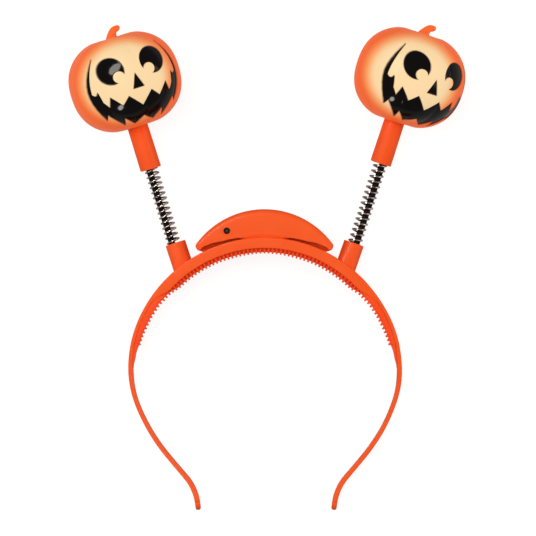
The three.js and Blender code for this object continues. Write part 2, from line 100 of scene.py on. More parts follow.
# Comb strip: reach of its root, of its tooth tips and of the ridge between the two rows of teeth, in from the
# band's outer edge, by angle from the crown
COMB_ROOT = [(0, 5.3), (46, 5.3), (51, 5.2), (57, 4.9), (64, 4.7), (74, 4.2), (82, 3.1), (87, 2.3)]
COMB_TIP = [(0, 8), (15, 8.4), (43, 8.4), (51, 6.9), (57, 6.2), (64, 5.9), (77, 5.2), (84, 2.9)]
COMB_RIDGE = [(0, 7.3), (44, 7.3), (51, 5.5), (57, 4.95), (64, 4.7), (72, 4.25)]
# Comb strip: how far the teeth and the ridge start inside it
COMB_SINK = 0.4 * MM
# Teeth: thickness as a share of the full one, by share of the way from root to tip
TOOTH_SHAPE = [(0, 1.04), (0.2, 1), (0.55, 0.97), (0.8, 0.92), (0.93, 0.8), (0.99, 0.45)]

# Case: how far its lower front edge stands off the crown, by distance from the middle
CASE_NOTCH = [(0, 1.3), (8, 1.1), (11, 0.35), (13.5, 1), (20, 1.3), (27, 2.2), (30, 2.3), (32.7, 0), (35, 0)]
# Button: place on the case's front
BUTTON_PLACE = np.array([-18.75, 72]) * MM

# Boppers: side of the band, lean of the post and of the spring, shift of the spring in its seat, clear length
# of the spring, shift of the pumpkin on its sleeve, turns of the face and of the lobes behind it, and middle
# of the glow
BOPPERS = {
    "left": {
        "sign": -1,
        "post_lean": 18.1,
        "spring_lean": 17.2,
        "spring_shift": 0.7,
        "spring_clear": 39.8,
        "pumpkin_shift": 0.6,
        "face_turn": 13.8,
        "lobe_turn": -16.4,
        "glow": (0.9, 1.1),
    },
    "right": {
        "sign": 1,
        "post_lean": 19.1,
        "spring_lean": 18,
        "spring_shift": 0.3,
        "spring_clear": 42.7,
        "pumpkin_shift": 0.25,
        "face_turn": 27.2,
        "lobe_turn": -5.6,
        "glow": (0.3, 0.8),
    },
}

# Stem: centre line (x, y) and radius, curling to the right
STEM = [
    (0, 18.6, 5.8),
    (0, 20, 4.6),
    (0.05, 21.4, 3.6),
    (0.3, 23, 2.85),
    (0.9, 24.6, 2.15),
    (2.0, 26, 1.8),
    (3.4, 26.55, 1.6),
    (4.7, 26.6, 1.4),
    (5.6, 26.3, 1.1),
]

# Face, drawn flat as it is seen from its own front, with its right half mirrored to the left, and then lifted
# and fattened
FACE_LIFT = 0.4
FACE_GROWTH = 0.2
EYE = {"x": 10.8, "y": 7, "radius_x": 6.3, "radius_y": 6.7}
EYE_NOTCH = {"x": 7.9, "y": 3.1, "radius": 3.1}
NOSE = [(0, 2.8), (2.8, -4.4), (-2.8, -4.4)]
# Mouth: right half as (x, y, bow), where the bow is how far the edge to the next point swells outwards
MOUTH = [
    (0, -18.4, 0.2),
    (4.9, -21.1, 0),
    (9.9, -17.2, 0),
    (9.5, -20.5, 0.2),
    (17.2, -13.4, 0),
    (17.6, -15.8, 6),
    (16.6, 15.3, -1.4),
    (21.9, -1.5, -1.3),
    (19.3, -1.3, 0),
    (18.1, -6.9, 0),
    (15.7, -10.3, 0),
    (14.6, -5.4, 0),
    (9.6, -11.1, 0),
    (6, -7.3, 0),
    (0, -13.5, 0),
]
# Distance that stands for being far from the face, in metres
FAR_FROM_FACE = 20 * MM

# Lights: name, place and size in metres, property with the power, whether they light matt faces, and whether
# they show as gloss
LIGHTS = [
    ("front_light", (-0.3, 0.1, 2.2), (1.4, 1.4), "front", True, False),
    ("left_light", (-1.1, 0.1, 0.55), (1.0, 1.0), "side", True, False),
    ("right_light", (1.1, 0.1, 0.55), (1.0, 1.0), "side", True, True),
    ("upper_card", (-0.4, 0.38, 0.98), (0.62, 0.36), "upper_card", False, True),
    ("lower_card", (-0.12, -0.215, 0.17), (0.06, 0.1), "lower_card", False, True),
]
LIGHT_AIM = Vector((0, 0, 0.02))
LIGHT_TINT = (1, 0.95, 0.88)


# Sizes and colours that a user would change


def length(label, text, millimetres):
    """Length property with its default in millimetres."""
    return FloatProperty(
        name=label, description=text, default=millimetres * MM, min=0, unit="LENGTH", precision=5
    )


def angle(label, text, degrees):
    """Angle property with its default in degrees."""
    return FloatProperty(name=label, description=text, default=math.radians(degrees), subtype="ANGLE")


def count(label, text, whole):
    """Whole-number property."""
    return IntProperty(name=label, description=text, default=whole, min=1)


def number(label, text, value):
    """Plain number property."""
    return FloatProperty(name=label, description=text, default=value)


def colour(label, text, *levels):
    """Colour property from the eight-bit levels that a screen shows, with the sRGB curve undone."""
    seen = np.array(levels) / 255
    linear = np.where(seen <= 0.04045, seen / 12.92, ((seen + 0.055) / 1.055) ** 2.4)
    return FloatVectorProperty(
        name=label, description=text, default=tuple(linear), size=3, min=0, max=1, subtype="COLOR"
    )


class HEADBAND_PG_band(bpy.types.PropertyGroup):
    """Sizes of the band, its posts, the comb strip, the case and the button"""

    edge: length("Edge rounding", "Rounding of the band's outer edges", 0.6)
    rim_reach: length("Rim reach", "How far the rims reach in from the outer edge at the crown", 5.2)
    rim_wall: length("Rim wall", "Thickness of the rims", 1.4)
    post_angle: angle("Post angle", "Angle of the posts from the crown", 36.65)
    post_radius: length("Post radius", "Outer radius of the spring posts", 5.15)
    post_height: length("Post height", "Height of the posts above the crown", 10.7)
    post_lip: length("Post lip", "How far the rim of a post stands above the seat of the spring", 0.8)
    post_seat: length("Post seat", "Radius of the seat in a post", 4.6)
    seat_depth: length("Seat depth", "Depth of the seats at both ends of a spring", 6)
    gap: length("Gap", "Clearance between neighbouring pieces", 0.3)
    teeth: count("Teeth", "Number of comb teeth in a row", 81)
    teeth_end: angle("Teeth end", "Angle of the last tooth from the crown", 76)
    tooth_width: length("Tooth width", "Width of a tooth along the band", 1.1)
    tooth_depth: length("Tooth depth", "Size of a tooth from front to back", 3.3)
    tooth_step: length("Tooth step", "How much shorter the teeth of the back row are", 0.9)
    tooth_row: length("Tooth row", "Distance of the two rows of teeth from the middle", 6.4)
    case_top: length("Case top", "Height of the case above the centre of the crown's arc", 82.8)
    case_radius: length("Case radius", "Radius of the top of the case", 42)
    case_end: angle("Case end", "Half angle of the arc over the case", 53.7)
    case_end_radius: length("Case end radius", "Rounding of the ends of the crescent", 2.3)
    case_depth: length("Case depth", "Depth of the case from front to back", 19)
    case_edge: length("Case edge", "Rounding along the top of the case", 3.4)
    button_radius: length("Button radius", "Radius of the push button", 1.6)
    button_length: length("Button length", "Length of the push button", 4.2)
    button_proud: length("Button height", "How far the button stands out", 0.7)


class HEADBAND_PG_bopper(bpy.types.PropertyGroup):
    """Sizes of the springs, leads, sleeves and pumpkins"""

    rise: angle("Rise", "Bow of the springs to the front", 5)
    coil_radius: length("Coil radius", "Radius of the spring at the middle of its wire", 3.15)
    wire_radius: length("Wire radius", "Radius of the spring wire", 0.47)
    turns: count("Turns", "Turns of a spring", 19)
    lead_radius: length("Lead radius", "Radius of the black lead", 1.62)
    lead_offset: length("Lead offset", "How far outwards of the middle the lead runs", 0.95)
    sleeve_radius: length("Sleeve radius", "Outer radius of a sleeve", 5.25)
    sleeve_seat: length("Sleeve seat", "Radius of the spring's seat in a sleeve", 4)
    sleeve_length: length("Sleeve length", "Length of a sleeve", 26)
    lead_bore: length("Lead bore", "Radius of the bore for the lead", 1.92)
    lamp_seat: length("Lamp seat", "Radius of the lamp's seat", 2.8)
    lamp_depth: length("Lamp depth", "Depth of the lamp's seat", 2)
    pumpkin_place: length("Pumpkin place", "Middle of a pumpkin above its sleeve's lower end", 45.2)
    pumpkin_front: length("Pumpkin to the front", "How far a pumpkin sits in front of its sleeve", 0.2)
    pumpkin_radius: length("Pumpkin radius", "Radius over the lobes", 27.9)
    pumpkin_height: length("Pumpkin half height", "Half height without the dimples", 24.2)
    fullness: number("Fullness", "Power that fills out the pumpkin's section", 0.85)
    lobes: count("Lobes", "Number of lobes", 8)
    groove: number("Groove", "Depth of the grooves at the poles as a share of the radius", 0.06)
    groove_sharpness: number("Groove sharpness", "Power of the lobes' waves", 0.8)
    dimple_depth: length("Dimple depth", "Depth of the dimples at both poles", 3)
    dimple_radius: length("Dimple radius", "Radius of the dimples", 7)
    wall: length("Wall", "Thickness of the shell", 1.8)
    sink: length("Face sink", "Depth of the face below the shell", 0.55)
    glow_width: length("Glow width", "Half width of the pale glow", 21.5)
    glow_height: length("Glow height", "Half height of the pale glow", 19.3)
    glow_softness: number("Glow softness", "Width of the glow's edge as a share of its size", 0.2)


class HEADBAND_PG_finish(bpy.types.PropertyGroup):
    """Colours of the finishes"""

    orange: colour("Orange", "Moulded orange plastic", 244, 89, 28)
    orange_deep: colour("Deep orange", "Thicker flow marks in the orange plastic", 239, 80, 22)
    comb: colour("Comb", "Comb strip", 241, 76, 26)
    comb_deep: colour("Deep comb", "Thicker flow marks in the comb strip", 235, 72, 20)
    shell: colour("Shell", "Unlit side of the pumpkins", 250, 106, 46)
    # Shell groove: painted shade, deeper orange in the grooves between the lobes
    shell_groove_shade: colour("Shell groove", "Grooves between the lobes", 226, 74, 22)
    shell_warm: colour("Shell edge", "Edge of the glow", 253, 172, 110)
    cream: colour("Cream", "Middle of the glow", 252, 220, 170)
    face: colour("Face", "Gloss black of the faces", 9, 7, 6)
    # Face edge: painted shade, a brown line on the sunk wall around the faces
    face_edge: colour("Face edge", "Brown line around the faces", 92, 40, 16)
    steel: colour("Steel", "Spring wire", 206, 196, 190)
    steel_dark: colour("Dark steel", "Stained spring wire", 112, 92, 84)
    black: colour("Black", "Button and leads", 8, 7, 6)
    # Button sheen: painted sheen, the grey middle of the black button
    button_sheen: colour("Worn button", "Worn middle of the button", 58, 52, 46)
    lamp: colour("Lamp", "Warm lamp", 255, 214, 150)
    floor: colour("Floor", "Pale floor", 128, 128, 128)


class HEADBAND_PG_stage(bpy.types.PropertyGroup):
    """Camera, lights and floor"""

    aim_x: length("Aim across", "Camera's aim to the right in the band's frame", 1.75)
    aim_y: length("Aim up", "Camera's aim upwards in the band's frame", 53.5)
    distance: length("Distance", "Camera to the band's plane", 1600)
    view_width: length("View width", "Width of the picture at the band's plane", 268)
    floor_size: length("Floor size", "Side of the square floor", 6000)
    floor_glow: number("Floor glow", "Light that shows the pale floor white", 0.84)
    world: number("World", "Strength of the light from all round", 0.3)
    backdrop: number("Backdrop", "Brightness of what the camera sees past the floor", 0.97)
    front: number("Front light", "Power of the large light by the camera, in watts", 25.5)
    side: number("Side lights", "Power of each of the large lights on both sides, in watts", 5.5)
    upper_card: number("Upper card", "Power of the card on the left, which only shows as gloss, in watts", 11)
    lower_card: number("Lower card", "Power of the small card, which only shows as gloss, in watts", 0.4)


# Shapes


def in_row(points):
    """Points of the band's frame in the row frame: tipped about x by the resting tilt, then moved."""
    return points @ TIP.T + CROWN_CENTRE


def turn_about(axis, degrees):
    """Matrix of a turn about an axis of the band's frame."""
    return np.array(Matrix.Rotation(math.radians(degrees), 3, axis))


def full_turn(sides):
    """Even steps of an angle once round."""
    return np.linspace(0, 2 * np.pi, sides, endpoint=False)


def smooth_step(low, high, at):
    """Share from 0 at low to 1 at high along the curve 3 t^2 - 2 t^3."""
    share = np.clip((at - low) / (high - low), 0, 1)
    return share * share * (3 - 2 * share)


def round_end(to_end, reach):
    """Share of full size near a rounded end: a quarter circle over the reach."""
    left = 1 - np.clip(to_end / reach, 0, 1)
    return np.sqrt(np.maximum(0, 1 - left**2))


def eased(table, at):
    """Value of a table of (place, value) rows at each place, moving from row to row along a smooth step."""
    places, values = np.array(table, float).T
    row = np.clip(np.searchsorted(places, at) - 1, 0, len(places) - 2)
    share = smooth_step(places[row], places[row + 1], at)
    return values[row] + (values[row + 1] - values[row]) * share


def smooth_line(values, at):
    """Values of a smooth line through rows of numbers (a Catmull-Rom curve) at fractional row numbers."""
    last = len(values) - 1
    row = np.clip(at.astype(int), 0, last - 1)
    t = at - row
    before, here, after, beyond = (values[np.clip(row + step, 0, last)] for step in (-1, 0, 1, 2))
    slope = after - before
    bend = 2 * before - 5 * here + 4 * after - beyond
    twist = 3 * (here - after) + beyond - before
    return here + 0.5 * t * (slope + t * (bend + t * twist))


def grid_quads(rows, columns, rows_close=False, columns_close=True):
    """Quads between neighbouring points of a grid, whose rows or columns may close on themselves."""
    row, column = np.meshgrid(
        np.arange(rows if rows_close else rows - 1),
        np.arange(columns if columns_close else columns - 1),
        indexing="ij",
    )
    next_row, next_column = (row + 1) % rows, (column + 1) % columns
    corners = [(row, column), (row, next_column), (next_row, next_column), (next_row, column)]
    return np.stack([at_row * columns + at_column for at_row, at_column in corners], axis=-1).reshape(-1, 4)


def outwards(points, quads, triangles):
    """The same skin with its faces turned outwards: they are reversed where the signed volume is negative."""
    corners = np.concatenate([quads[:, [0, 1, 2]], quads[:, [0, 2, 3]], triangles])
    first, second, third = (points[corners[:, i]] for i in range(3))
    if np.einsum("ij,ij->", first, np.cross(second, third)) < 0:
        return points, quads[:, ::-1], triangles[:, ::-1]
    return points, quads, triangles


def skin(rings, loop=False):
    """Closed skin over rings of points, shaped (rings, points, 3): quads join each ring to the next, and fans
    from the middle of the first and last ring close the ends unless the rings form a loop."""
    rows, columns = rings.shape[:2]
    points = rings.reshape(-1, 3)
    triangles = np.empty((0, 3), int)
    if not loop:
        here = np.arange(columns)
        after = np.roll(here, -1)
        last = (rows - 1) * columns
        low = np.stack([after, here, np.full(columns, len(points))], axis=-1)
        high = np.stack([here + last, after + last, np.full(columns, len(points) + 1)], axis=-1)
        triangles = np.concatenate([low, high])
        points = np.concatenate([points, rings[[0, -1]].mean(axis=1)])
    return outwards(points, grid_quads(rows, columns, rows_close=loop), triangles)


def joined(skins):
    """Several skins as one: points end to end, and the faces' numbers moved on by the points before them."""
    points, quads, triangles = zip(*skins)
    starts = np.cumsum([0] + [len(part) for part in points[:-1]])
    return (
        np.concatenate(points),
        np.concatenate([part + start for part, start in zip(quads, starts)]),
        np.concatenate([part + start for part, start in zip(triangles, starts)]),
    )


def sections(corners):
    """Outlines shaped (stations, corners, values), from corners whose values are given for all stations."""
    return np.moveaxis(np.array(corners), -1, 0)


def rounded(corners, radii, steps=4):
    """Closed outlines with rounded corners, one for each station. corners is shaped (stations, corners, 2). A
    corner becomes the quadratic curve from one radius before it to one radius after it, but it stays short of
    the middle of an edge."""
    shortest = 1e-9
    edge_share = 0.48
    radii = np.broadcast_to(radii, corners.shape[:2])
    before = np.roll(corners, 1, axis=1) - corners
    after = np.roll(corners, -1, axis=1) - corners
    before_length = np.maximum(np.linalg.norm(before, axis=-1), shortest)
    after_length = np.maximum(np.linalg.norm(after, axis=-1), shortest)
    reach = np.minimum(radii, edge_share * np.minimum(before_length, after_length))
    start = corners + before * (reach / before_length)[..., None]
    end = corners + after * (reach / after_length)[..., None]
    t = np.linspace(0, 1, steps + 1)[:, None]
    curve = (1 - t) ** 2 * start[:, :, None] + 2 * t * (1 - t) * corners[:, :, None] + t**2 * end[:, :, None]
    return curve.reshape(len(corners), -1, 2)


def turned(rows, sides):
    """Rings of a turned shape: an outline of (radius, height, rounding) rows goes round the y axis."""
    rows = np.array(rows)
    outline = rounded(rows[None, :, :2], rows[:, 2])[0]
    radius, height = outline[:, :1], outline[:, 1:]
    around = full_turn(sides)
    return np.stack([radius * np.cos(around), height + 0 * around, radius * np.sin(around)], axis=-1)


def band_edge(distance):
    """Point and inward normal of the band's outer edge, by distance along it from the crown (negative to the
    left). The edge is a chain of arcs: the heading turns evenly over each, and the point moves by the arc's
    chord. The right leg is then spread."""
    side = np.where(distance < 0, -1.0, 1.0)
    left = np.abs(distance)
    heading = np.zeros_like(left)
    x = np.zeros_like(left)
    y = np.full_like(left, CROWN_RADIUS)
    for stretch, turn in STRETCHES:
        run = np.clip(left, 0, stretch)
        bend = math.radians(turn) * run / stretch
        chord = run * np.sinc(bend / (2 * np.pi))
        x = x + chord * np.cos(heading + bend / 2)
        y = y - chord * np.sin(heading + bend / 2)
        heading = heading + bend
        left = left - run
    x = x + np.where(side > 0, eased(LEG_SPREAD, np.abs(distance) / MM) * MM, 0)
    return np.stack([side * x, y], axis=-1), np.stack([-side * np.sin(heading), -np.cos(heading)], axis=-1)


def on_band(distance, section):
    """Points of sections carried along the band: each (depth, inward) of a section lies that far to the front
    and that far in from the outer edge at its distance."""
    edge, inward = band_edge(distance)
    flat = edge[:, None] + inward[:, None] * section[..., 1:]
    return np.concatenate([flat, section[..., :1]], axis=-1)


def band_depth(distance):
    """Depth of the band from front to back, before its tips are rounded."""
    return eased(BAND_DEPTH, np.abs(distance) / MM) * MM


def band_wall(distance):
    """Thickness of the band's strip."""
    return eased(BAND_WALL, np.abs(distance) / MM) * MM


def post_place(side, band):
    """Turning matrix and foot of a post: it stands on the crown's outer edge and leans outwards."""
    sign = BOPPERS[side]["sign"]
    foot = CROWN_RADIUS * np.array([sign * math.sin(band.post_angle), math.cos(band.post_angle), 0])
    return turn_about("Z", -sign * BOPPERS[side]["post_lean"]), foot


def on_axis(context, side, height, local):
    """Points of the row frame for places in the cross-sections of a bopper's bowed axis. The axis starts over
    the post, moved outwards by the shift, and leans outwards. It is straight in the post, bows to the front
    over the clear spring as an arc, and is straight again above it."""
    band, sizes = context.scene.headband_band, context.scene.headband_bopper
    bopper = BOPPERS[side]
    post_turn, foot = post_place(side, band)
    start = foot + post_turn @ np.array([bopper["sign"] * bopper["spring_shift"] * MM, band.post_height, 0])
    lean = turn_about("Z", -bopper["sign"] * bopper["spring_lean"])
    clear = bopper["spring_clear"] * MM
    on_arc = np.clip(height, 0, clear)
    past = height - on_arc
    bend = sizes.rise * on_arc / clear
    radius = clear / sizes.rise
    cos, sin = np.cos(bend), np.sin(bend)
    x, y, z = np.moveaxis(local, -1, 0)
    across = x + 0 * height
    up = radius * sin + (past + y) * cos - z * sin
    front = radius * (1 - cos) + (past + y) * sin + z * cos
    return in_row(np.stack([across, up, front], axis=-1) @ lean.T + start)


def on_head(context, side, local):
    """Points of the row frame for places above the spring, where y runs up from the sleeve's lower end."""
    return on_axis(context, side, np.array(BOPPERS[side]["spring_clear"] * MM), local)


# Face


def bowed(rows, steps=10):
    """Points of a line through (x, y, bow) rows: each stretch swells to its right by bow * 4 t (1 - t)."""
    points = []
    for (ax, ay, bow), (bx, by, _) in zip(rows, rows[1:]):
        run_x, run_y = bx - ax, by - ay
        t = np.arange(steps if bow else 1) / steps
        side = 4 * bow * t * (1 - t) / math.hypot(run_x, run_y)
        points += zip(ax + t * run_x + side * run_y, ay + t * run_y - side * run_x)
    return points + [rows[-1][:2]]


def outline_distance(x, y, outline):
    """Distance from a closed outline of straight edges, negative inside: the least distance to any edge, with
    its sign from the number of edges that a line to the right crosses."""
    nearest = np.full(x.shape, np.inf)
    inside = np.zeros(x.shape, bool)
    for (ax, ay), (bx, by) in zip(outline, outline[1:] + outline[:1]):
        run_x, run_y = bx - ax, by - ay
        share = np.clip(((x - ax) * run_x + (y - ay) * run_y) / (run_x**2 + run_y**2), 0, 1)
        nearest = np.minimum(nearest, np.hypot(x - ax - share * run_x, y - ay - share * run_y))
        if run_y != 0:
            spans = (ay > y) != (by > y)
            inside ^= spans & (x < ax + (y - ay) * run_x / run_y)
    return np.where(inside, -nearest, nearest)


def face_distance(x, y):
    """Distance in millimetres from the drawn face, negative inside it: the least of the distances from the
    mouth, the nose and the two eyes, which are ellipses with a round notch taken out."""
    half = bowed(MOUTH)
    mirrored = [(-px, py) for px, py in reversed(half[1:-1])]
    shapes = [outline_distance(x, y, half + mirrored), outline_distance(x, y, NOSE)]
    flattest = 1e-6
    for sign in (-1, 1):
        across = x - sign * EYE["x"]
        up = y - EYE["y"]
        size = np.hypot(across / EYE["radius_x"], up / EYE["radius_y"])
        slope = np.hypot(across / EYE["radius_x"] ** 2, up / EYE["radius_y"] ** 2)
        eye = size * (size - 1) / np.maximum(slope, flattest)
        notch = np.hypot(x - sign * EYE_NOTCH["x"], y - EYE_NOTCH["y"]) - EYE_NOTCH["radius"]
        shapes.append(np.maximum(eye, -notch))
    return np.minimum.reduce(shapes)


# Pieces


def place_piece(name, skins, finish, sharp=40):
    """Object at the origin with the joined skins as its mesh, smooth but for edges sharper than the angle."""
    points, quads, triangles = joined(skins)
    mesh = bpy.data.meshes.new(name)
    mesh.from_pydata(points.tolist(), [], quads.tolist() + triangles.tolist())
    mesh.polygons.foreach_set("use_smooth", np.ones(len(mesh.polygons), bool))
    mesh.set_sharp_from_angle(angle=math.radians(sharp))
    mesh.materials.append(finish)
    mesh.update()
    piece = bpy.data.objects.new(name, mesh)
    bpy.context.scene.collection.objects.link(piece)
    return piece


def bend_with_bopper(piece):
    """Bakes the piece's place into its mesh."""
    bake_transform(piece)


def add_attribute(piece, name, values):
    """Number at each point of a piece, for its material."""
    piece.data.attributes.new(name, "FLOAT", "POINT").data.foreach_set("value", values.astype(np.float32))


# Finishes


class Shade:
    """A socket of a node tree. Arithmetic with it adds Math nodes, and node() adds any other node."""

    def __init__(self, tree, socket=None):
        self.tree = tree
        self.socket = socket

    def node(self, kind, settings=None, sockets=None, output=0):
        """Node of a type. Settings and a ramp's stops are set first, then its sockets' values or links."""
        made = self.tree.nodes.new(kind)
        for name, value in (settings or {}).items():
            if name == "stops":
                elements = made.color_ramp.elements
                for place, _ in value[1:-1]:
                    elements.new(place)
                for stop, (place, tone) in zip(elements, value):
                    stop.position = place
                    stop.color = tone
            else:
                setattr(made, name, value)
        for name, value in (sockets or {}).items():
            if isinstance(value, Shade):
                self.tree.links.new(value.socket, made.inputs[name])
            else:
                made.inputs[name].default_value = value
        return Shade(self.tree, made.outputs[output] if len(made.outputs) else None)

    def math(self, operation, first, second=0.0):
        """Math node on two values."""
        return self.node("ShaderNodeMath", {"operation": operation}, {0: first, 1: second})

    def __add__(self, other):
        return self.math("ADD", self, other)

    def __sub__(self, other):
        return self.math("SUBTRACT", self, other)

    def __rsub__(self, other):
        return self.math("SUBTRACT", other, self)

    def __mul__(self, other):
        return self.math("MULTIPLY", self, other)

    def __truediv__(self, other):
        return self.math("DIVIDE", self, other)

    def __abs__(self):
        return self.math("ABSOLUTE", self)

    __radd__ = __add__
    __rmul__ = __mul__

    def clamped(self):
        """The value held between 0 and 1."""
        return self.node("ShaderNodeClamp", None, {"Value": self})

    def share(self, low, high):
        """Share from 0 where the value is low to 1 where it is high."""
        return ((self - low) / (high - low)).clamped()

    def swing(self, spread):
        """A noise as a swing to both sides of 0, with the spread between its ends."""
        return (self - 0.5) * spread

    def mix(self, low, high):
        """Colour between two colours, with this value as the share of the second."""
        return self.node("ShaderNodeMix", {"data_type": "RGBA"}, {0: self, 6: low, 7: high}, 2)

    def dimmed(self, share):
        """Colour at a share of its brightness."""
        return self.node("ShaderNodeMix", {"data_type": "RGBA"}, {0: share, 6: BLACK, 7: self}, 2)

    def noise(self, waves, detail=2.0):
        """Noise on the object's own coordinates, with its number of waves in a metre."""
        place = self.node("ShaderNodeTexCoord", output="Object")
        sockets = {"Vector": place, "Scale": waves, "Detail": detail}
        return self.node("ShaderNodeTexNoise", None, sockets, "Fac")

    def attribute(self, name):
        """Number that the piece holds at each point."""
        return self.node("ShaderNodeAttribute", {"attribute_name": name}, output="Fac")

    def grain(self, waves, strength, height):
        """Normal raised by a fine noise of that height."""
        sockets = {"Height": self.noise(waves), "Strength": strength, "Distance": height}
        return self.node("ShaderNodeBump", None, sockets, "Normal")


def new_finish(name):
    """Empty material and the shade that adds its nodes."""
    material = bpy.data.materials.new(name)
    material.use_nodes = True
    material.node_tree.nodes.clear()
    return material, Shade(material.node_tree)


def show(shade, sockets):
    """Closes a material: one surface shader with the sockets given, joined to the output."""
    surface = shade.node("ShaderNodeBsdfPrincipled", None, sockets)
    shade.node("ShaderNodeOutputMaterial", None, {"Surface": surface})


def opaque(tone):
    """Colour property with full alpha."""
    return (*tone, 1.0)


def moulded_plastic(name, tone, deep, roughness, through=0.0):
    """Satin moulded plastic: wide flow marks in the colour, a fine spark-eroded grain, faint handling marks,
    a thin gloss, and an even glow of its own colour: partly light that comes through the thin plastic, partly
    painted light that lifts its shaded parts."""
    material, shade = new_finish(name)
    flow = shade.noise(waves=70, detail=3).share(0.25, 0.875)
    handling = shade.noise(waves=420, detail=4).swing(0.22)
    show(
        shade,
        {
            "Base Color": flow.mix(opaque(tone), opaque(deep)),
            "Roughness": handling + roughness,
            "Normal": shade.grain(waves=2600, strength=0.12, height=0.12 * MM),
            "Specular IOR Level": 0.13,
            "Coat Weight": 0.08,
            "Coat Roughness": 0.12,
            "Emission Color": opaque(tone),
            "Emission Strength": through,
        },
    )
    return material


def orange_plastic(context):
    """Orange plastic of the band, the case and the sleeves, made the first time it is asked for."""
    colours = context.scene.headband_finish
    name = "moulded_orange"
    made = bpy.data.materials.get(name)
    return made or moulded_plastic(name, colours.orange, colours.orange_deep, roughness=0.5)


def spring_steel(colours):
    """Drawn steel wire with darker stains."""
    material, shade = new_finish("drawn_wire")
    stain = shade.noise(waves=300, detail=3).share(1 / 3, 0.75)
    least, spread = 0.12, 0.16
    show(
        shade,
        {
            "Base Color": stain.mix(opaque(colours.steel), opaque(colours.steel_dark)),
            "Metallic": 1.0,
            "Roughness": shade.noise(waves=3000) * spread + least,
        },
    )
    return material


def lead_skin(colours):
    """Black insulation with a dusty bloom in its colour and roughness."""
    material, shade = new_finish("lead_black")
    dust = shade.noise(waves=900, detail=4)
    dust_share, dust_gain = 0.5, 2.2
    dusty = [level * dust_gain for level in colours.black]
    least, spread = 0.42, 0.25
    show(
        shade,
        {
            "Base Color": (dust * dust_share).mix(opaque(colours.black), opaque(dusty)),
            "Roughness": dust * spread + least,
            "Normal": shade.grain(waves=2200, strength=0.1, height=0.1 * MM),
            "Specular IOR Level": 0.08,
        },
    )
    return material


def button_skin(colours):
    """Black button plastic with a dull grey middle, which is a painted sheen on its top."""
    material, shade = new_finish("button_black")
    button_noise = shade.noise(waves=1800, detail=3)
    sheen_radius, ring_radius = 0.45, 0.45 + 1 / 6
    # Painted sheen: the middle of the cap is grey inside a black ring
    ring = (shade.attribute("rim") + button_noise.swing(0.1)).share(sheen_radius, ring_radius)
    middle_roughness, ring_gloss = 0.5, 0.1
    show(
        shade,
        {
            "Base Color": ring.mix(opaque(colours.button_sheen), opaque(colours.black)),
            "Roughness": middle_roughness - ring * ring_gloss + button_noise.swing(0.2),
            "Normal": shade.grain(waves=2600, strength=0.1, height=0.1 * MM),
            "Specular IOR Level": 0.05,
        },
    )
    return material


def lamp_glass(colours):
    """Warm lamp that gives light, with faint ripples in its lens."""
    material, shade = new_finish("lamp_glass")
    ripple = shade.noise(waves=700)
    least, spread = 0.1, 0.15
    show(
        shade,
        {
            "Base Color": ripple.mix(opaque(colours.lamp), opaque(colours.cream)),
            "Roughness": ripple * spread + least,
            "Emission Color": opaque(colours.lamp),
            "Emission Strength": 3.0,
        },
    )
    return material


def glowing_shell(colours):
    """Lit shell: orange at the sides, with painted shade deeper in the grooves, and cream where the light
    comes through, with a sunk gloss black face and a brown line of painted shade on the sunk wall around it.
    Distances from the face are in millimetres."""
    material, shade = new_finish("lit_shell")
    face, glow, groove = (shade.attribute(name) for name in ("face", "glow", "groove"))
    mottle = shade.noise(waves=160, detail=3).swing(0.12)
    lit = (glow + mottle * glow * (1 - glow) * 4).clamped()
    stops = [(0.0, opaque(colours.shell)), (0.5, opaque(colours.shell_warm)), (1.0, opaque(colours.cream))]
    ramp = shade.node("ShaderNodeValToRGB", {"stops": stops}, {"Fac": lit})
    groove_shade_share, edge_shade_share = 0.7, 0.55
    # Painted shade: the grooves darken towards the deep orange outside the glow
    lobed = (groove * groove * (1 - lit) * groove_shade_share).clamped().mix(ramp, opaque(colours.shell_groove_shade))
    # Painted shade: a brown line darkens the sunk wall around the face
    edge_shade_middle, edge_shade_width = -0.05, 0.28
    line = (1 - abs(face - edge_shade_middle) / edge_shade_width).clamped()
    toned = (line * edge_shade_share).mix(lobed, opaque(colours.face_edge))
    paint_edge, paint_full = -0.016, -0.176
    paint = face.share(paint_edge, paint_full)
    unlit_share, light_share = 0.48, 0.52
    shell_roughness, paint_gloss = 0.42, 0.33
    haze = shade.noise(waves=500, detail=3).swing(0.08)
    show(
        shade,
        {
            "Base Color": paint.mix(toned.dimmed(unlit_share), opaque(colours.face)),
            "Roughness": shell_roughness - paint * paint_gloss + haze,
            "Emission Color": paint.mix(toned, BLACK),
            "Emission Strength": light_share,
            "Normal": shade.grain(waves=2400, strength=0.04, height=0.1 * MM),
            "Specular IOR Level": 0.14,
        },
    )
    return material


def pale_floor(colours, glow):
    """Pale floor with a faint paper grain, which shows white to the camera and dimmer in glossy faces."""
    material, shade = new_finish("pale_floor")
    grain_share, gloss_share = 0.06, 0.4
    grain = shade.noise(waves=300, detail=3) * grain_share
    camera = shade.node("ShaderNodeLightPath", output="Is Camera Ray")
    gloss = shade.node("ShaderNodeLightPath", output="Is Glossy Ray")
    show(
        shade,
        {
            "Base Color": grain.mix(opaque(colours.floor), WHITE),
            "Roughness": 0.8,
            "Emission Color": (camera + gloss * gloss_share).mix(BLACK, WHITE),
            "Emission Strength": glow,
            "Specular IOR Level": 0.0,
        },
    )
    return material


# Operators


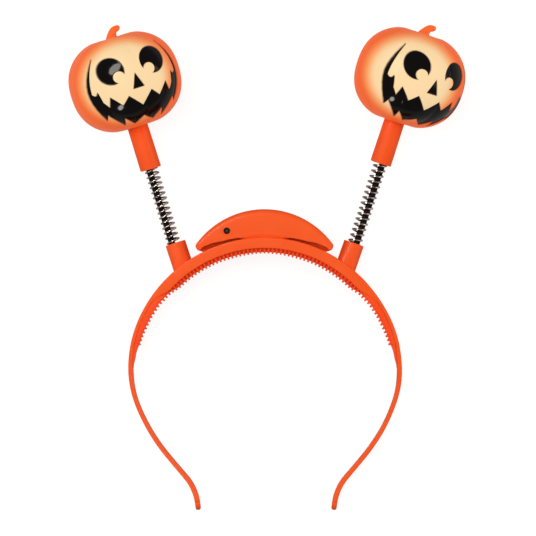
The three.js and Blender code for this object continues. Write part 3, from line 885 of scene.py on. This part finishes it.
class HEADBAND_OT_band(bpy.types.Operator):
    """Build the band with its rims and its two spring posts"""

    bl_idname = "headband.band"
    bl_label = "Band"

    def execute(self, context):
        sizes = context.scene.headband_band
        skins = [skin(in_row(self.strip(sizes)))]
        skins += [skin(in_row(self.post(sizes, side)), loop=True) for side in BOPPERS]
        band = place_piece("band_moulding", skins, orange_plastic(context))
        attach(band, "headband")
        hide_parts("band")
        return {"FINISHED"}

    def strip(self, sizes):
        """Channel section carried along the band: a strip with a rim down each side, all corners rounded. The
        rims run out towards the legs, and depth and thickness close to a round end at the tips."""
        tip_zone, tip_rounding, first_step = 5 * MM, 0.9 * MM, 0.04
        tip_steps = tip_zone * (1 - np.sin(np.linspace(first_step, np.pi / 2, num=16)))
        ends = HALF_BAND - tip_steps[::-1]
        middle = np.linspace(-ends[0], ends[0], num=361)[1:-1]
        distance = np.concatenate([-ends[::-1], middle, ends])
        to_tip = HALF_BAND - np.abs(distance)
        wall = band_wall(distance)
        half = band_depth(distance) / 2
        half = half * round_end(to_tip, half)
        thick = wall * round_end(to_tip, tip_rounding)
        top, floor = (wall - thick) / 2, (wall + thick) / 2
        fade = smooth_step(*RIM_FADE, np.abs(distance))
        lip = sizes.rim_reach + (floor - sizes.rim_reach) * fade
        least_inner, foot_step, foot_share = 0.6, 0.6 * MM, 0.2
        inner = np.maximum(half - sizes.rim_wall, half * least_inner)
        foot = inner - np.minimum(foot_step, half * foot_share) * fade
        front = [(half, top), (half, lip), (inner, lip), (foot, floor)]
        back = [(-across, inward) for across, inward in reversed(front)]
        inside_share = 0.3
        radii = np.array([1, *[inside_share] * 6, 1]) * sizes.edge
        return on_band(distance, rounded(sections(front + back), radii))

    def post(self, sizes, side):
        """Turned post with a rounded rim and a seat for the spring. Its foot follows the crown: each line of
        the post is cut where it meets the crown's cylinder, a little below its surface."""
        radius, seat = sizes.post_radius, sizes.post_seat
        height = sizes.post_height + sizes.post_lip
        floor = sizes.post_height - sizes.seat_depth
        pinhole, sunk = 0.02 * MM, 1.2 * MM
        outline = [
            (pinhole, 0, 0),
            (radius, 0, 0),
            (radius, height, 0.45 * MM),
            (seat, height, 0.25 * MM),
            (seat, floor, 0.3 * MM),
            (pinhole, floor, 0),
        ]
        rings = turned(outline, sides=64)
        turn, foot = post_place(side, sizes)
        base = rings * [1, 0, 1] @ turn.T + foot
        across = base[..., 0] * turn[0, 1] + base[..., 1] * turn[1, 1]
        meets = np.sqrt(across**2 - base[..., 0] ** 2 - base[..., 1] ** 2 + CROWN_RADIUS**2) - across
        rings[..., 1] = np.where(rings[..., 1] < floor / 2, meets - sunk, rings[..., 1])
        return rings @ turn.T + foot


class HEADBAND_OT_comb(bpy.types.Operator):
    """Build the toothed strip inside the band"""

    bl_idname = "headband.comb"
    bl_label = "Comb Strip"

    def execute(self, context):
        sizes, colours = context.scene.headband_band, context.scene.headband_finish
        skins = [skin(in_row(rings)) for rings in (self.strip(sizes), self.ridge(sizes), *self.teeth(sizes))]
        # Glow: partly light through thin plastic, partly painted light lifting the shade between teeth
        roughness, through = 0.46, 0.07
        finish = moulded_plastic("moulded_comb", colours.comb, colours.comb_deep, roughness, through)
        comb = place_piece("comb_teeth_strip", skins, finish)
        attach(comb, "headband")
        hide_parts("comb_strip")
        return {"FINISHED"}

    def bar(self, degrees, half, low, high, rounding):
        """Rounded rectangle carried along the band, from its low to its high reach in from the outer edge."""
        distance = np.radians(degrees) * CROWN_RADIUS
        corners = sections([(-half, low), (half, low), (half, high), (-half, high)])
        return on_band(distance, rounded(corners, rounding, steps=3))

    def strip(self, sizes):
        """Bar along the inside of the band, from the channel's floor to the root of the teeth."""
        end = COMB_ROOT[-1][0]
        degrees = np.linspace(-end, end, num=241)
        distance = np.radians(degrees) * CROWN_RADIUS
        top_gap, least, rounding = 0.06 * MM, 0.1 * MM, 0.08 * MM
        inset = sizes.rim_wall * (1 - smooth_step(*RIM_FADE, np.abs(distance)))
        half = band_depth(distance) / 2 - inset - sizes.gap
        top = band_wall(distance) + top_gap
        root = np.maximum(eased(COMB_ROOT, np.abs(degrees)) * MM, top + least)
        return self.bar(degrees, half, top, root, rounding)

    def ridge(self, sizes):
        """Bar along the middle of the strip, between the two rows of teeth."""
        end = COMB_RIDGE[-1][0]
        degrees = np.linspace(-end, end, num=201)
        overlap, least, rounding = 0.2 * MM, 0.2 * MM, 0.4 * MM
        half = np.full_like(degrees, sizes.tooth_row - sizes.tooth_depth / 2 + overlap)
        low = eased(COMB_ROOT, np.abs(degrees)) * MM - COMB_SINK
        crest = np.maximum(eased(COMB_RIDGE, np.abs(degrees)) * MM, low + least)
        return self.bar(degrees, half, low, crest, rounding)

    def teeth(self, sizes):
        """Tapered pegs with rounded tips in a front and a back row: rounded rectangles that shrink along each
        peg. The back row is shorter, and more so towards the legs."""
        at = np.tile(np.linspace(-sizes.teeth_end, sizes.teeth_end, sizes.teeth), 2)
        row = np.repeat([sizes.tooth_row, -sizes.tooth_row], sizes.teeth)
        degrees = np.degrees(np.abs(at))
        least, growth, growth_from, growth_to = 0.5 * MM, 0.8, 44, 56
        root = eased(COMB_ROOT, degrees) * MM - COMB_SINK
        step = sizes.tooth_step * (1 + growth * smooth_step(growth_from, growth_to, degrees))
        tip = eased(COMB_TIP, degrees) * MM - np.where(row < 0, step, 0)
        tip = np.maximum(tip, root + least)
        share, taper = np.array(TOOTH_SHAPE).T
        reach = root[:, None] + (tip - root)[:, None] * share
        square = np.array([[[-0.5, -0.5], [0.5, -0.5], [0.5, 0.5], [-0.5, 0.5]]])
        corner_share = 0.28
        outline = rounded(square, corner_share, steps=2)[0]
        along = outline[:, 0] * taper[:, None] * sizes.tooth_width
        depth = outline[:, 1] * taper[:, None] * sizes.tooth_depth
        radius = CROWN_RADIUS - reach[:, :, None]
        sin, cos = np.sin(at)[:, None, None], np.cos(at)[:, None, None]
        x = radius * sin + along * cos
        y = radius * cos - along * sin
        z = row[:, None, None] + depth + 0 * radius
        return np.stack([x, y, z], axis=-1)


class HEADBAND_OT_case(bpy.types.Operator):
    """Build the crescent battery case"""

    bl_idname = "headband.case"
    bl_label = "Battery Case"

    def execute(self, context):
        skins = [skin(in_row(self.crescent(context.scene.headband_band)))]
        case = place_piece("case_shell", skins, orange_plastic(context))
        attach(case, "headband")
        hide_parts("battery_case")
        return {"FINISHED"}

    def crescent(self, sizes):
        """Slices across the crescent from end to end. A slice runs from the crown to the outer arc, its upper
        edges are rounded, and its lower front edge is raised off the crown by the notch: a soft valley in the
        middle and a deep slot on both sides of it."""
        end_radius = sizes.case_end_radius
        arc_height = sizes.case_top - sizes.case_radius
        half_width = (sizes.case_radius - end_radius) * math.sin(sizes.case_end)
        end_height = arc_height + (sizes.case_radius - end_radius) * math.cos(sizes.case_end)
        reach = half_width + end_radius
        last_slice = np.pi / 2 - 0.03
        x = reach * np.sin(np.linspace(-1, 1, num=181) * last_slice)
        away = np.abs(x)

        # Upper and lower line of each slice
        cap = end_radius * round_end(reach - away, end_radius)
        tangent = sizes.case_radius * math.sin(sizes.case_end)
        on_arc = arc_height + np.sqrt(sizes.case_radius**2 - x**2)
        top = np.where(away < tangent, on_arc, end_height + cap)
        sunk, crown_end, cap_start = 0.25 * MM, 29 * MM, 32.5 * MM
        seat = np.sqrt(CROWN_RADIUS**2 - x**2) - sunk
        low = seat + (end_height - cap - seat) * smooth_step(crown_end, cap_start, away)

        # Notch under the front edge, raised by what is sunk and held to a share of the slice's height
        tall = top - low
        notch_share, sunk_share = 0.45, 0.2
        notch = np.minimum(eased(CASE_NOTCH, away / MM) * MM, notch_share * tall)
        notch = notch + np.minimum(sunk, sunk_share * tall)

        # Half depth, rounded at the ends, and the slot behind the notch
        end_edge = 1.2 * MM
        half = sizes.case_depth / 2 - end_edge * (1 - round_end(reach - away, end_edge))
        valley_depth, slot_depth = 1 * MM, 8 * MM
        valley_end, slot_start = 9.5 * MM, 12 * MM
        slot = smooth_step(valley_end, slot_start, away)
        behind = half - (valley_depth + slot_depth * slot)
        ceiling = low + notch * slot

        # Corners as (height, depth, rounding)
        lower_edge, inside = 0.5 * MM, 0.3 * MM
        soft_edge, soft_end, sharp_start = 1.4 * MM, 9 * MM, 14 * MM
        valley_edge = soft_edge * (1 - smooth_step(soft_end, sharp_start, away))
        corners = [
            (low + notch, half, lower_edge + valley_edge),
            (top, half, sizes.case_edge),
            (top, -half, sizes.case_edge),
            (low, -half, lower_edge),
            (low, behind, inside),
            (ceiling, behind, inside),
        ]
        outline = sections([[value + 0 * x for value in corner] for corner in corners])
        section = rounded(outline[..., :2], outline[..., 2], steps=8)
        return np.concatenate([np.broadcast_to(x[:, None, None], (*section.shape[:2], 1)), section], axis=-1)


class HEADBAND_OT_button(bpy.types.Operator):
    """Build the black push button"""

    bl_idname = "headband.button"
    bl_label = "Push Button"

    def execute(self, context):
        sizes = context.scene.headband_band
        rings = self.cap(sizes)
        finish = button_skin(context.scene.headband_finish)
        button = place_piece("button_cap", [skin(in_row(rings))], finish)
        from_middle = np.linalg.norm(rings[..., :2] - BUTTON_PLACE, axis=-1) / sizes.button_radius
        add_attribute(button, "rim", np.concatenate([from_middle.ravel(), np.zeros(2)]))
        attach(button, "button")
        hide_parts("switch_button")
        return {"FINISHED"}

    def cap(self, sizes):
        """Turned cap with a rounded rim and a dished middle, pointing to the front."""
        radius, top = sizes.button_radius, sizes.button_proud
        low = top - sizes.button_length
        pinhole, dish = 0.01 * MM, top - 0.15 * MM
        rim, floor = 0.62 * radius, 0.5 * radius
        outline = [
            (pinhole, low, 0),
            (radius, low, 0.1 * MM),
            (radius, top, 0.35 * MM),
            (rim, top, 0.15 * MM),
            (floor, dish, 0.15 * MM),
            (pinhole, dish, 0),
        ]
        x, height, z = np.moveaxis(turned(outline, sides=40), -1, 0)
        return np.stack([BUTTON_PLACE[0] + x, BUTTON_PLACE[1] - z, sizes.case_depth / 2 + height], axis=-1)


class HEADBAND_OT_springs(bpy.types.Operator):
    """Wind the two coil springs"""

    bl_idname = "headband.springs"
    bl_label = "Springs"

    def execute(self, context):
        finish = spring_steel(context.scene.headband_finish)
        for side in BOPPERS:
            skins = [skin(self.coil(context, side))]
            coil = place_piece(f"{side}_coil", skins, finish, sharp=80)
            bend_with_bopper(coil)
            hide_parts(f"{side}_spring")
        return {"FINISHED"}

    def coil(self, context, side):
        """Round wire carried along a helix that winds up the bowed axis at an even pitch."""
        band, sizes = context.scene.headband_band, context.scene.headband_bopper
        steps_per_turn = 36
        low = band.gap + sizes.wire_radius - band.seat_depth
        high = BOPPERS[side]["spring_clear"] * MM - low
        share = np.linspace(0, 1, sizes.turns * steps_per_turn + 1)[:, None]
        winding = share * sizes.turns * 2 * np.pi
        around = full_turn(sides=8)
        radius = sizes.coil_radius + sizes.wire_radius * np.cos(around)
        rise = sizes.wire_radius * np.sin(around) + 0 * winding
        local = np.stack([radius * np.cos(winding), rise, -radius * np.sin(winding)], axis=-1)
        return on_axis(context, side, low + (high - low) * share, local)


class HEADBAND_OT_leads(bpy.types.Operator):
    """Run the black lamp leads through the springs"""

    bl_idname = "headband.leads"
    bl_label = "Lamp Leads"

    def execute(self, context):
        finish = lead_skin(context.scene.headband_finish)
        for side in BOPPERS:
            lead = place_piece(f"{side}_lead_wire", [skin(self.lead(context, side))], finish)
            bend_with_bopper(lead)
            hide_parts(f"{side}_lead")
        return {"FINISHED"}

    def lead(self, context, side):
        """Round lead along the bowed axis, off the middle in the spring and back on it inside the sleeve."""
        band, sizes = context.scene.headband_band, context.scene.headband_bopper
        clear = BOPPERS[side]["spring_clear"] * MM
        low = band.gap - band.seat_depth
        high = clear + sizes.sleeve_length - sizes.lamp_depth - band.gap
        height = np.linspace(low, high, num=120)[:, None]
        off_middle, on_middle = clear - 1 * MM, clear + 5 * MM
        offset = sizes.lead_offset * (1 - smooth_step(off_middle, on_middle, height))
        around = full_turn(sides=20)
        x = BOPPERS[side]["sign"] * offset + sizes.lead_radius * np.cos(around)
        local = np.stack([x, 0 * x, sizes.lead_radius * np.sin(around) + 0 * height], axis=-1)
        return on_axis(context, side, height, local)


class HEADBAND_OT_sleeves(bpy.types.Operator):
    """Turn the two sleeves under the pumpkins"""

    bl_idname = "headband.sleeves"
    bl_label = "Sleeves"

    def execute(self, context):
        for side in BOPPERS:
            skins = [skin(on_head(context, side, self.sleeve(context)), loop=True)]
            sleeve = place_piece(f"{side}_tube", skins, orange_plastic(context))
            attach(sleeve, f"{side}_bopper")
            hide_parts(f"{side}_sleeve")
        return {"FINISHED"}

    def sleeve(self, context):
        """Turned tube: a slight draft outside, rounded rims, the spring's seat below, the lamp's seat above
        and the bore for the lead between them."""
        band, sizes = context.scene.headband_band, context.scene.headband_bopper
        top, lamp_floor = sizes.sleeve_length, sizes.sleeve_length - sizes.lamp_depth
        wider, narrower, inside = 0.08 * MM, 0.12 * MM, 0.2 * MM
        outline = [
            (sizes.sleeve_seat, 0, inside),
            (sizes.sleeve_radius + wider, 0, 0.4 * MM),
            (sizes.sleeve_radius - narrower, top, 0.3 * MM),
            (sizes.lamp_seat, top, inside),
            (sizes.lamp_seat, lamp_floor, inside),
            (sizes.lead_bore, lamp_floor, inside),
            (sizes.lead_bore, band.seat_depth, inside),
            (sizes.sleeve_seat, band.seat_depth, inside),
        ]
        return turned(outline, sides=64)


class HEADBAND_OT_lamps(bpy.types.Operator):
    """Give the two lamps their glowing lens"""

    bl_idname = "headband.lamps"
    bl_label = "Lamps"

    def execute(self, context):
        finish = lamp_glass(context.scene.headband_finish)
        for side in BOPPERS:
            lens = frame["nodes"][f"{side}_lamp"].data.materials
            lens.clear()
            lens.append(finish)
        return {"FINISHED"}


class HEADBAND_OT_pumpkins(bpy.types.Operator):
    """Build the two pumpkins with their faces and stems"""

    bl_idname = "headband.pumpkins"
    bl_label = "Pumpkins"

    def execute(self, context):
        sizes = context.scene.headband_bopper
        finish = glowing_shell(context.scene.headband_finish)
        for side, bopper in BOPPERS.items():
            shell, face, groove = self.shell(sizes, math.radians(bopper["lobe_turn"]))
            turn = turn_about("Y", bopper["face_turn"])
            lift = np.array([bopper["pumpkin_shift"] * MM, sizes.pumpkin_place, sizes.pumpkin_front])
            parts = [rings @ turn.T for rings in (shell, self.stem())]
            skins = [skin(on_head(context, side, part + lift)) for part in parts]
            pumpkin = place_piece(f"{side}_lantern", skins, finish, sharp=60)
            glow = self.glow(sizes, bopper["glow"], parts[0])
            unpainted = np.zeros(2 + len(skins[1][0]))
            add_attribute(pumpkin, "face", np.concatenate([face.ravel(), unpainted + FAR_FROM_FACE]) / MM)
            # Share of painted shade in the grooves, for the material
            add_attribute(pumpkin, "groove", np.concatenate([groove.ravel(), unpainted]))
            add_attribute(pumpkin, "glow", np.concatenate([glow.ravel(), unpainted]))
            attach(pumpkin, f"{side}_bopper")
            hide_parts(f"{side}_pumpkin")
        return {"FINISHED"}

    def groove(self, sizes, longitude, latitude, lobe_turn):
        """Depth of the grooves as a share of their full depth, and the share of painted shade in them: a wave
        with a sharp trough between the lobes. Both nearly run out at the face, but the depth is full at the
        poles."""
        trough = 1 - np.abs(np.cos(sizes.lobes * (longitude - lobe_turn) / 2)) ** sizes.groove_sharpness
        from_face = np.abs((longitude + np.pi) % (2 * np.pi) - np.pi)
        at_face, fade_from, fade_to = 0.15, math.radians(75), math.radians(125)
        around_middle = at_face + (1 - at_face) * smooth_step(fade_from, fade_to, from_face)
        depth = trough * (around_middle + (1 - around_middle) * np.sin(latitude) ** 2)
        return depth, trough * around_middle + 0 * latitude

    def ball(self, sizes, longitude, latitude, lobe_turn):
        """Lobed, dimpled ball: an ellipse filled out by a power, pressed in at the poles and the grooves."""
        across = np.abs(np.cos(latitude)) ** sizes.fullness
        groove, _ = self.groove(sizes, longitude, latitude, lobe_turn)
        radius = sizes.pumpkin_radius * across * (1 - sizes.groove * groove)
        dimple = sizes.dimple_depth * np.exp(-((radius / sizes.dimple_radius) ** 2))
        rise = np.sin(latitude)
        height = np.sign(rise) * np.maximum(0, sizes.pumpkin_height * np.abs(rise) ** sizes.fullness - dimple)
        return np.stack([radius * np.sin(longitude), height, radius * np.cos(longitude)], axis=-1)

    def shell(self, sizes, lobe_turn):
        """Inner wall from the top to the neck, and outer wall back up with the face pressed in. Points lie
        closest on the face. Returns the rings, and the distance from the face and the share of painted shade
        in the grooves at each point."""
        face_edge = math.radians(62)
        front = np.linspace(-face_edge, face_edge, num=300)
        rest = np.linspace(face_edge, 2 * np.pi - face_edge, num=86)[1:-1]
        longitude = np.concatenate([front, rest])[None]

        # Even steps up the outer wall, longer ones below and above the face
        neck, outer_top, inner_top = math.radians(-81), np.pi / 2 - 0.01, np.pi / 2 - 0.03
        face_low, face_high, beyond_face = -22 * MM, 16.5 * MM, 0.45
        fine = np.linspace(neck, outer_top, num=4000)
        line = self.ball(sizes, np.zeros_like(fine), fine, 0)
        weight = np.where((line[1:, 1] > face_low) & (line[1:, 1] < face_high), 1.0, beyond_face)
        run = np.concatenate([[0], np.cumsum(np.linalg.norm(np.diff(line, axis=0), axis=1) * weight)])
        latitude = np.interp(np.linspace(0, run[-1], num=190), run, fine)[:, None]

        # Face pressed into the outer wall, over a narrow edge
        outer = self.ball(sizes, longitude, latitude, lobe_turn)
        face = (face_distance(outer[..., 0] / MM, outer[..., 1] / MM - FACE_LIFT) - FACE_GROWTH) * MM
        face = np.where(outer[..., 2] > 0, face, FAR_FROM_FACE)
        edge_low, edge_high = -0.22 * MM, 0.1 * MM
        sunk = sizes.sink * (1 - smooth_step(edge_low, edge_high, face))
        outer = outer * (1 - sunk[..., None] / np.linalg.norm(outer, axis=-1, keepdims=True))

        # Inner wall, one thickness inside the unpressed ball
        inner = self.ball(sizes, longitude, np.linspace(inner_top, neck, num=26)[:, None], lobe_turn)
        inner = inner * (1 - sizes.wall / np.linalg.norm(inner, axis=-1, keepdims=True))
        unpainted = np.full(inner.shape[:2], FAR_FROM_FACE)
        # Share of painted shade in the grooves
        _, tone = self.groove(sizes, longitude, latitude, lobe_turn)
        return (
            np.concatenate([inner, outer]),
            np.concatenate([unpainted, face]),
            np.concatenate([0 * unpainted, tone]),
        )

    def stem(self):
        """Ribbed stem: circles with five soft ribs carried along a curled line, closing to a round tip."""
        rows = np.array(STEM) * MM
        last = len(rows) - 1
        at = np.linspace(0, last, num=44)
        x, y, radius = (smooth_line(rows[:, i], at)[:, None] for i in range(3))
        heading = np.arctan2(np.gradient(y, axis=0), np.gradient(x, axis=0))
        around = full_turn(sides=30)
        ribs, rib_height = 5, 0.06
        tip_rows, least = 1.2, 0.15
        closing = np.maximum(round_end(last - at, tip_rows)[:, None], least)
        reach = radius * (1 + rib_height * np.cos(ribs * around)) * closing
        side = reach * np.sin(around)
        x = x + side * np.sin(heading)
        y = y - side * np.cos(heading)
        return np.stack([x, y, reach * np.cos(around)], axis=-1)

    def glow(self, sizes, middle, points):
        """Share of light that comes through: 1 inside an ellipse on the front, fading over its soft edge, and
        less than half as much on the back."""
        x, y, z = np.moveaxis(points, -1, 0)
        across, up = (place * MM for place in middle)
        reach = np.hypot((x - across) / sizes.glow_width, (y - up) / sizes.glow_height)
        spot = 1 - smooth_step(1 - sizes.glow_softness, 1 + sizes.glow_softness, reach)
        on_back, back_edge, front_edge = 0.4, -8 * MM, 4 * MM
        return spot * (on_back + (1 - on_back) * smooth_step(back_edge, front_edge, z))


class HEADBAND_OT_stage(bpy.types.Operator):
    """Set the floor, the lights and the camera"""

    bl_idname = "headband.stage"
    bl_label = "Stage"

    def execute(self, context):
        stage = context.scene.headband_stage
        self.floor(context, stage)
        self.world(context, stage)
        for name, place, size, power, diffuse, glossy in LIGHTS:
            self.light(name, place, size, getattr(stage, power), diffuse, glossy)
        self.camera(context, stage)
        context.scene.view_settings.view_transform = "Standard"
        return {"FINISHED"}

    def floor(self, context, stage):
        """Square floor just under the part, as a grid of even squares."""
        side, below = 9, 0.1 * MM
        steps = np.linspace(-0.5, 0.5, side) * stage.floor_size
        x, y = np.meshgrid(steps, steps)
        points = np.stack([x, y, 0 * x - below], axis=-1).reshape(-1, 3)
        squares = (points, grid_quads(side, side, columns_close=False), np.empty((0, 3), int))
        finish = pale_floor(context.scene.headband_finish, stage.floor_glow)
        place_piece("floor", [squares], finish)

    def world(self, context, stage):
        """Even light from all round, pale where the camera looks past the floor."""
        world = bpy.data.worlds.new("studio")
        world.use_nodes = True
        world.node_tree.nodes.clear()
        shade = Shade(world.node_tree)
        seen = shade.node("ShaderNodeLightPath", output="Is Camera Ray")
        strength = seen * (stage.backdrop - stage.world) + stage.world
        backdrop = shade.node("ShaderNodeBackground", None, {"Color": WHITE, "Strength": strength})
        shade.node("ShaderNodeOutputWorld", None, {"Surface": backdrop})
        context.scene.world = world

    def light(self, name, place, size, power, diffuse, glossy):
        """Soft oval light at a place, turned to the middle of the part."""
        data = bpy.data.lights.new(name, "AREA")
        data.shape = "ELLIPSE"
        data.energy = power
        data.size, data.size_y = size
        data.color = LIGHT_TINT
        light = bpy.data.objects.new(name, data)
        light.visible_camera, light.visible_diffuse, light.visible_glossy = False, diffuse, glossy
        light.location = place
        light.rotation_euler = (LIGHT_AIM - Vector(place)).to_track_quat("-Z", "Y").to_euler()
        bpy.context.scene.collection.objects.link(light)

    def camera(self, context, stage):
        """Camera straight in front of the band, upright to it."""
        data = bpy.data.cameras.new("camera")
        data.sensor_width = 36
        data.lens = data.sensor_width * stage.distance / stage.view_width
        data.clip_end = 20
        camera = bpy.data.objects.new("camera", data)
        aim = in_row(np.array([stage.aim_x, stage.aim_y, 0]))
        place = Matrix(TIP.tolist()).to_4x4()
        place.translation = Vector(aim + TIP[:, 2] * stage.distance)
        camera.matrix_world = place
        context.scene.collection.objects.link(camera)
        context.scene.camera = camera


OPERATORS = (
    HEADBAND_OT_stage,
    HEADBAND_OT_band,
    HEADBAND_OT_comb,
    HEADBAND_OT_case,
    HEADBAND_OT_button,
    HEADBAND_OT_springs,
    HEADBAND_OT_leads,
    HEADBAND_OT_sleeves,
    HEADBAND_OT_lamps,
    HEADBAND_OT_pumpkins,
)
GROUPS = {
    "headband_band": HEADBAND_PG_band,
    "headband_bopper": HEADBAND_PG_bopper,
    "headband_finish": HEADBAND_PG_finish,
    "headband_stage": HEADBAND_PG_stage,
}


class HEADBAND_PT_sidebar(bpy.types.Panel):
    """List of the pieces and their sizes"""

    bl_idname = "HEADBAND_PT_sidebar"
    bl_label = "Pumpkin Headband"
    bl_space_type = "VIEW_3D"
    bl_region_type = "UI"
    bl_category = "Headband"

    def draw(self, context):
        for operator in OPERATORS:
            self.layout.operator(operator.bl_idname)
        for name in GROUPS:
            group = getattr(context.scene, name)
            box = self.layout.box()
            for key in group.__annotations__:
                box.prop(group, key)


CLASSES = (*GROUPS.values(), *OPERATORS, HEADBAND_PT_sidebar)


def register():
    for cls in CLASSES:
        bpy.utils.register_class(cls)
    for name, group in GROUPS.items():
        setattr(bpy.types.Scene, name, PointerProperty(type=group))


def unregister():
    for name in GROUPS:
        delattr(bpy.types.Scene, name)
    for cls in reversed(CLASSES):
        bpy.utils.unregister_class(cls)


def main():
    register()
    bpy.ops.headband.stage()
    bpy.ops.headband.band()
    bpy.ops.headband.comb()
    bpy.ops.headband.case()
    bpy.ops.headband.button()
    bpy.ops.headband.springs()
    bpy.ops.headband.leads()
    bpy.ops.headband.sleeves()
    bpy.ops.headband.lamps()
    bpy.ops.headband.pumpkins()


if __name__ == "__main__":
    main()
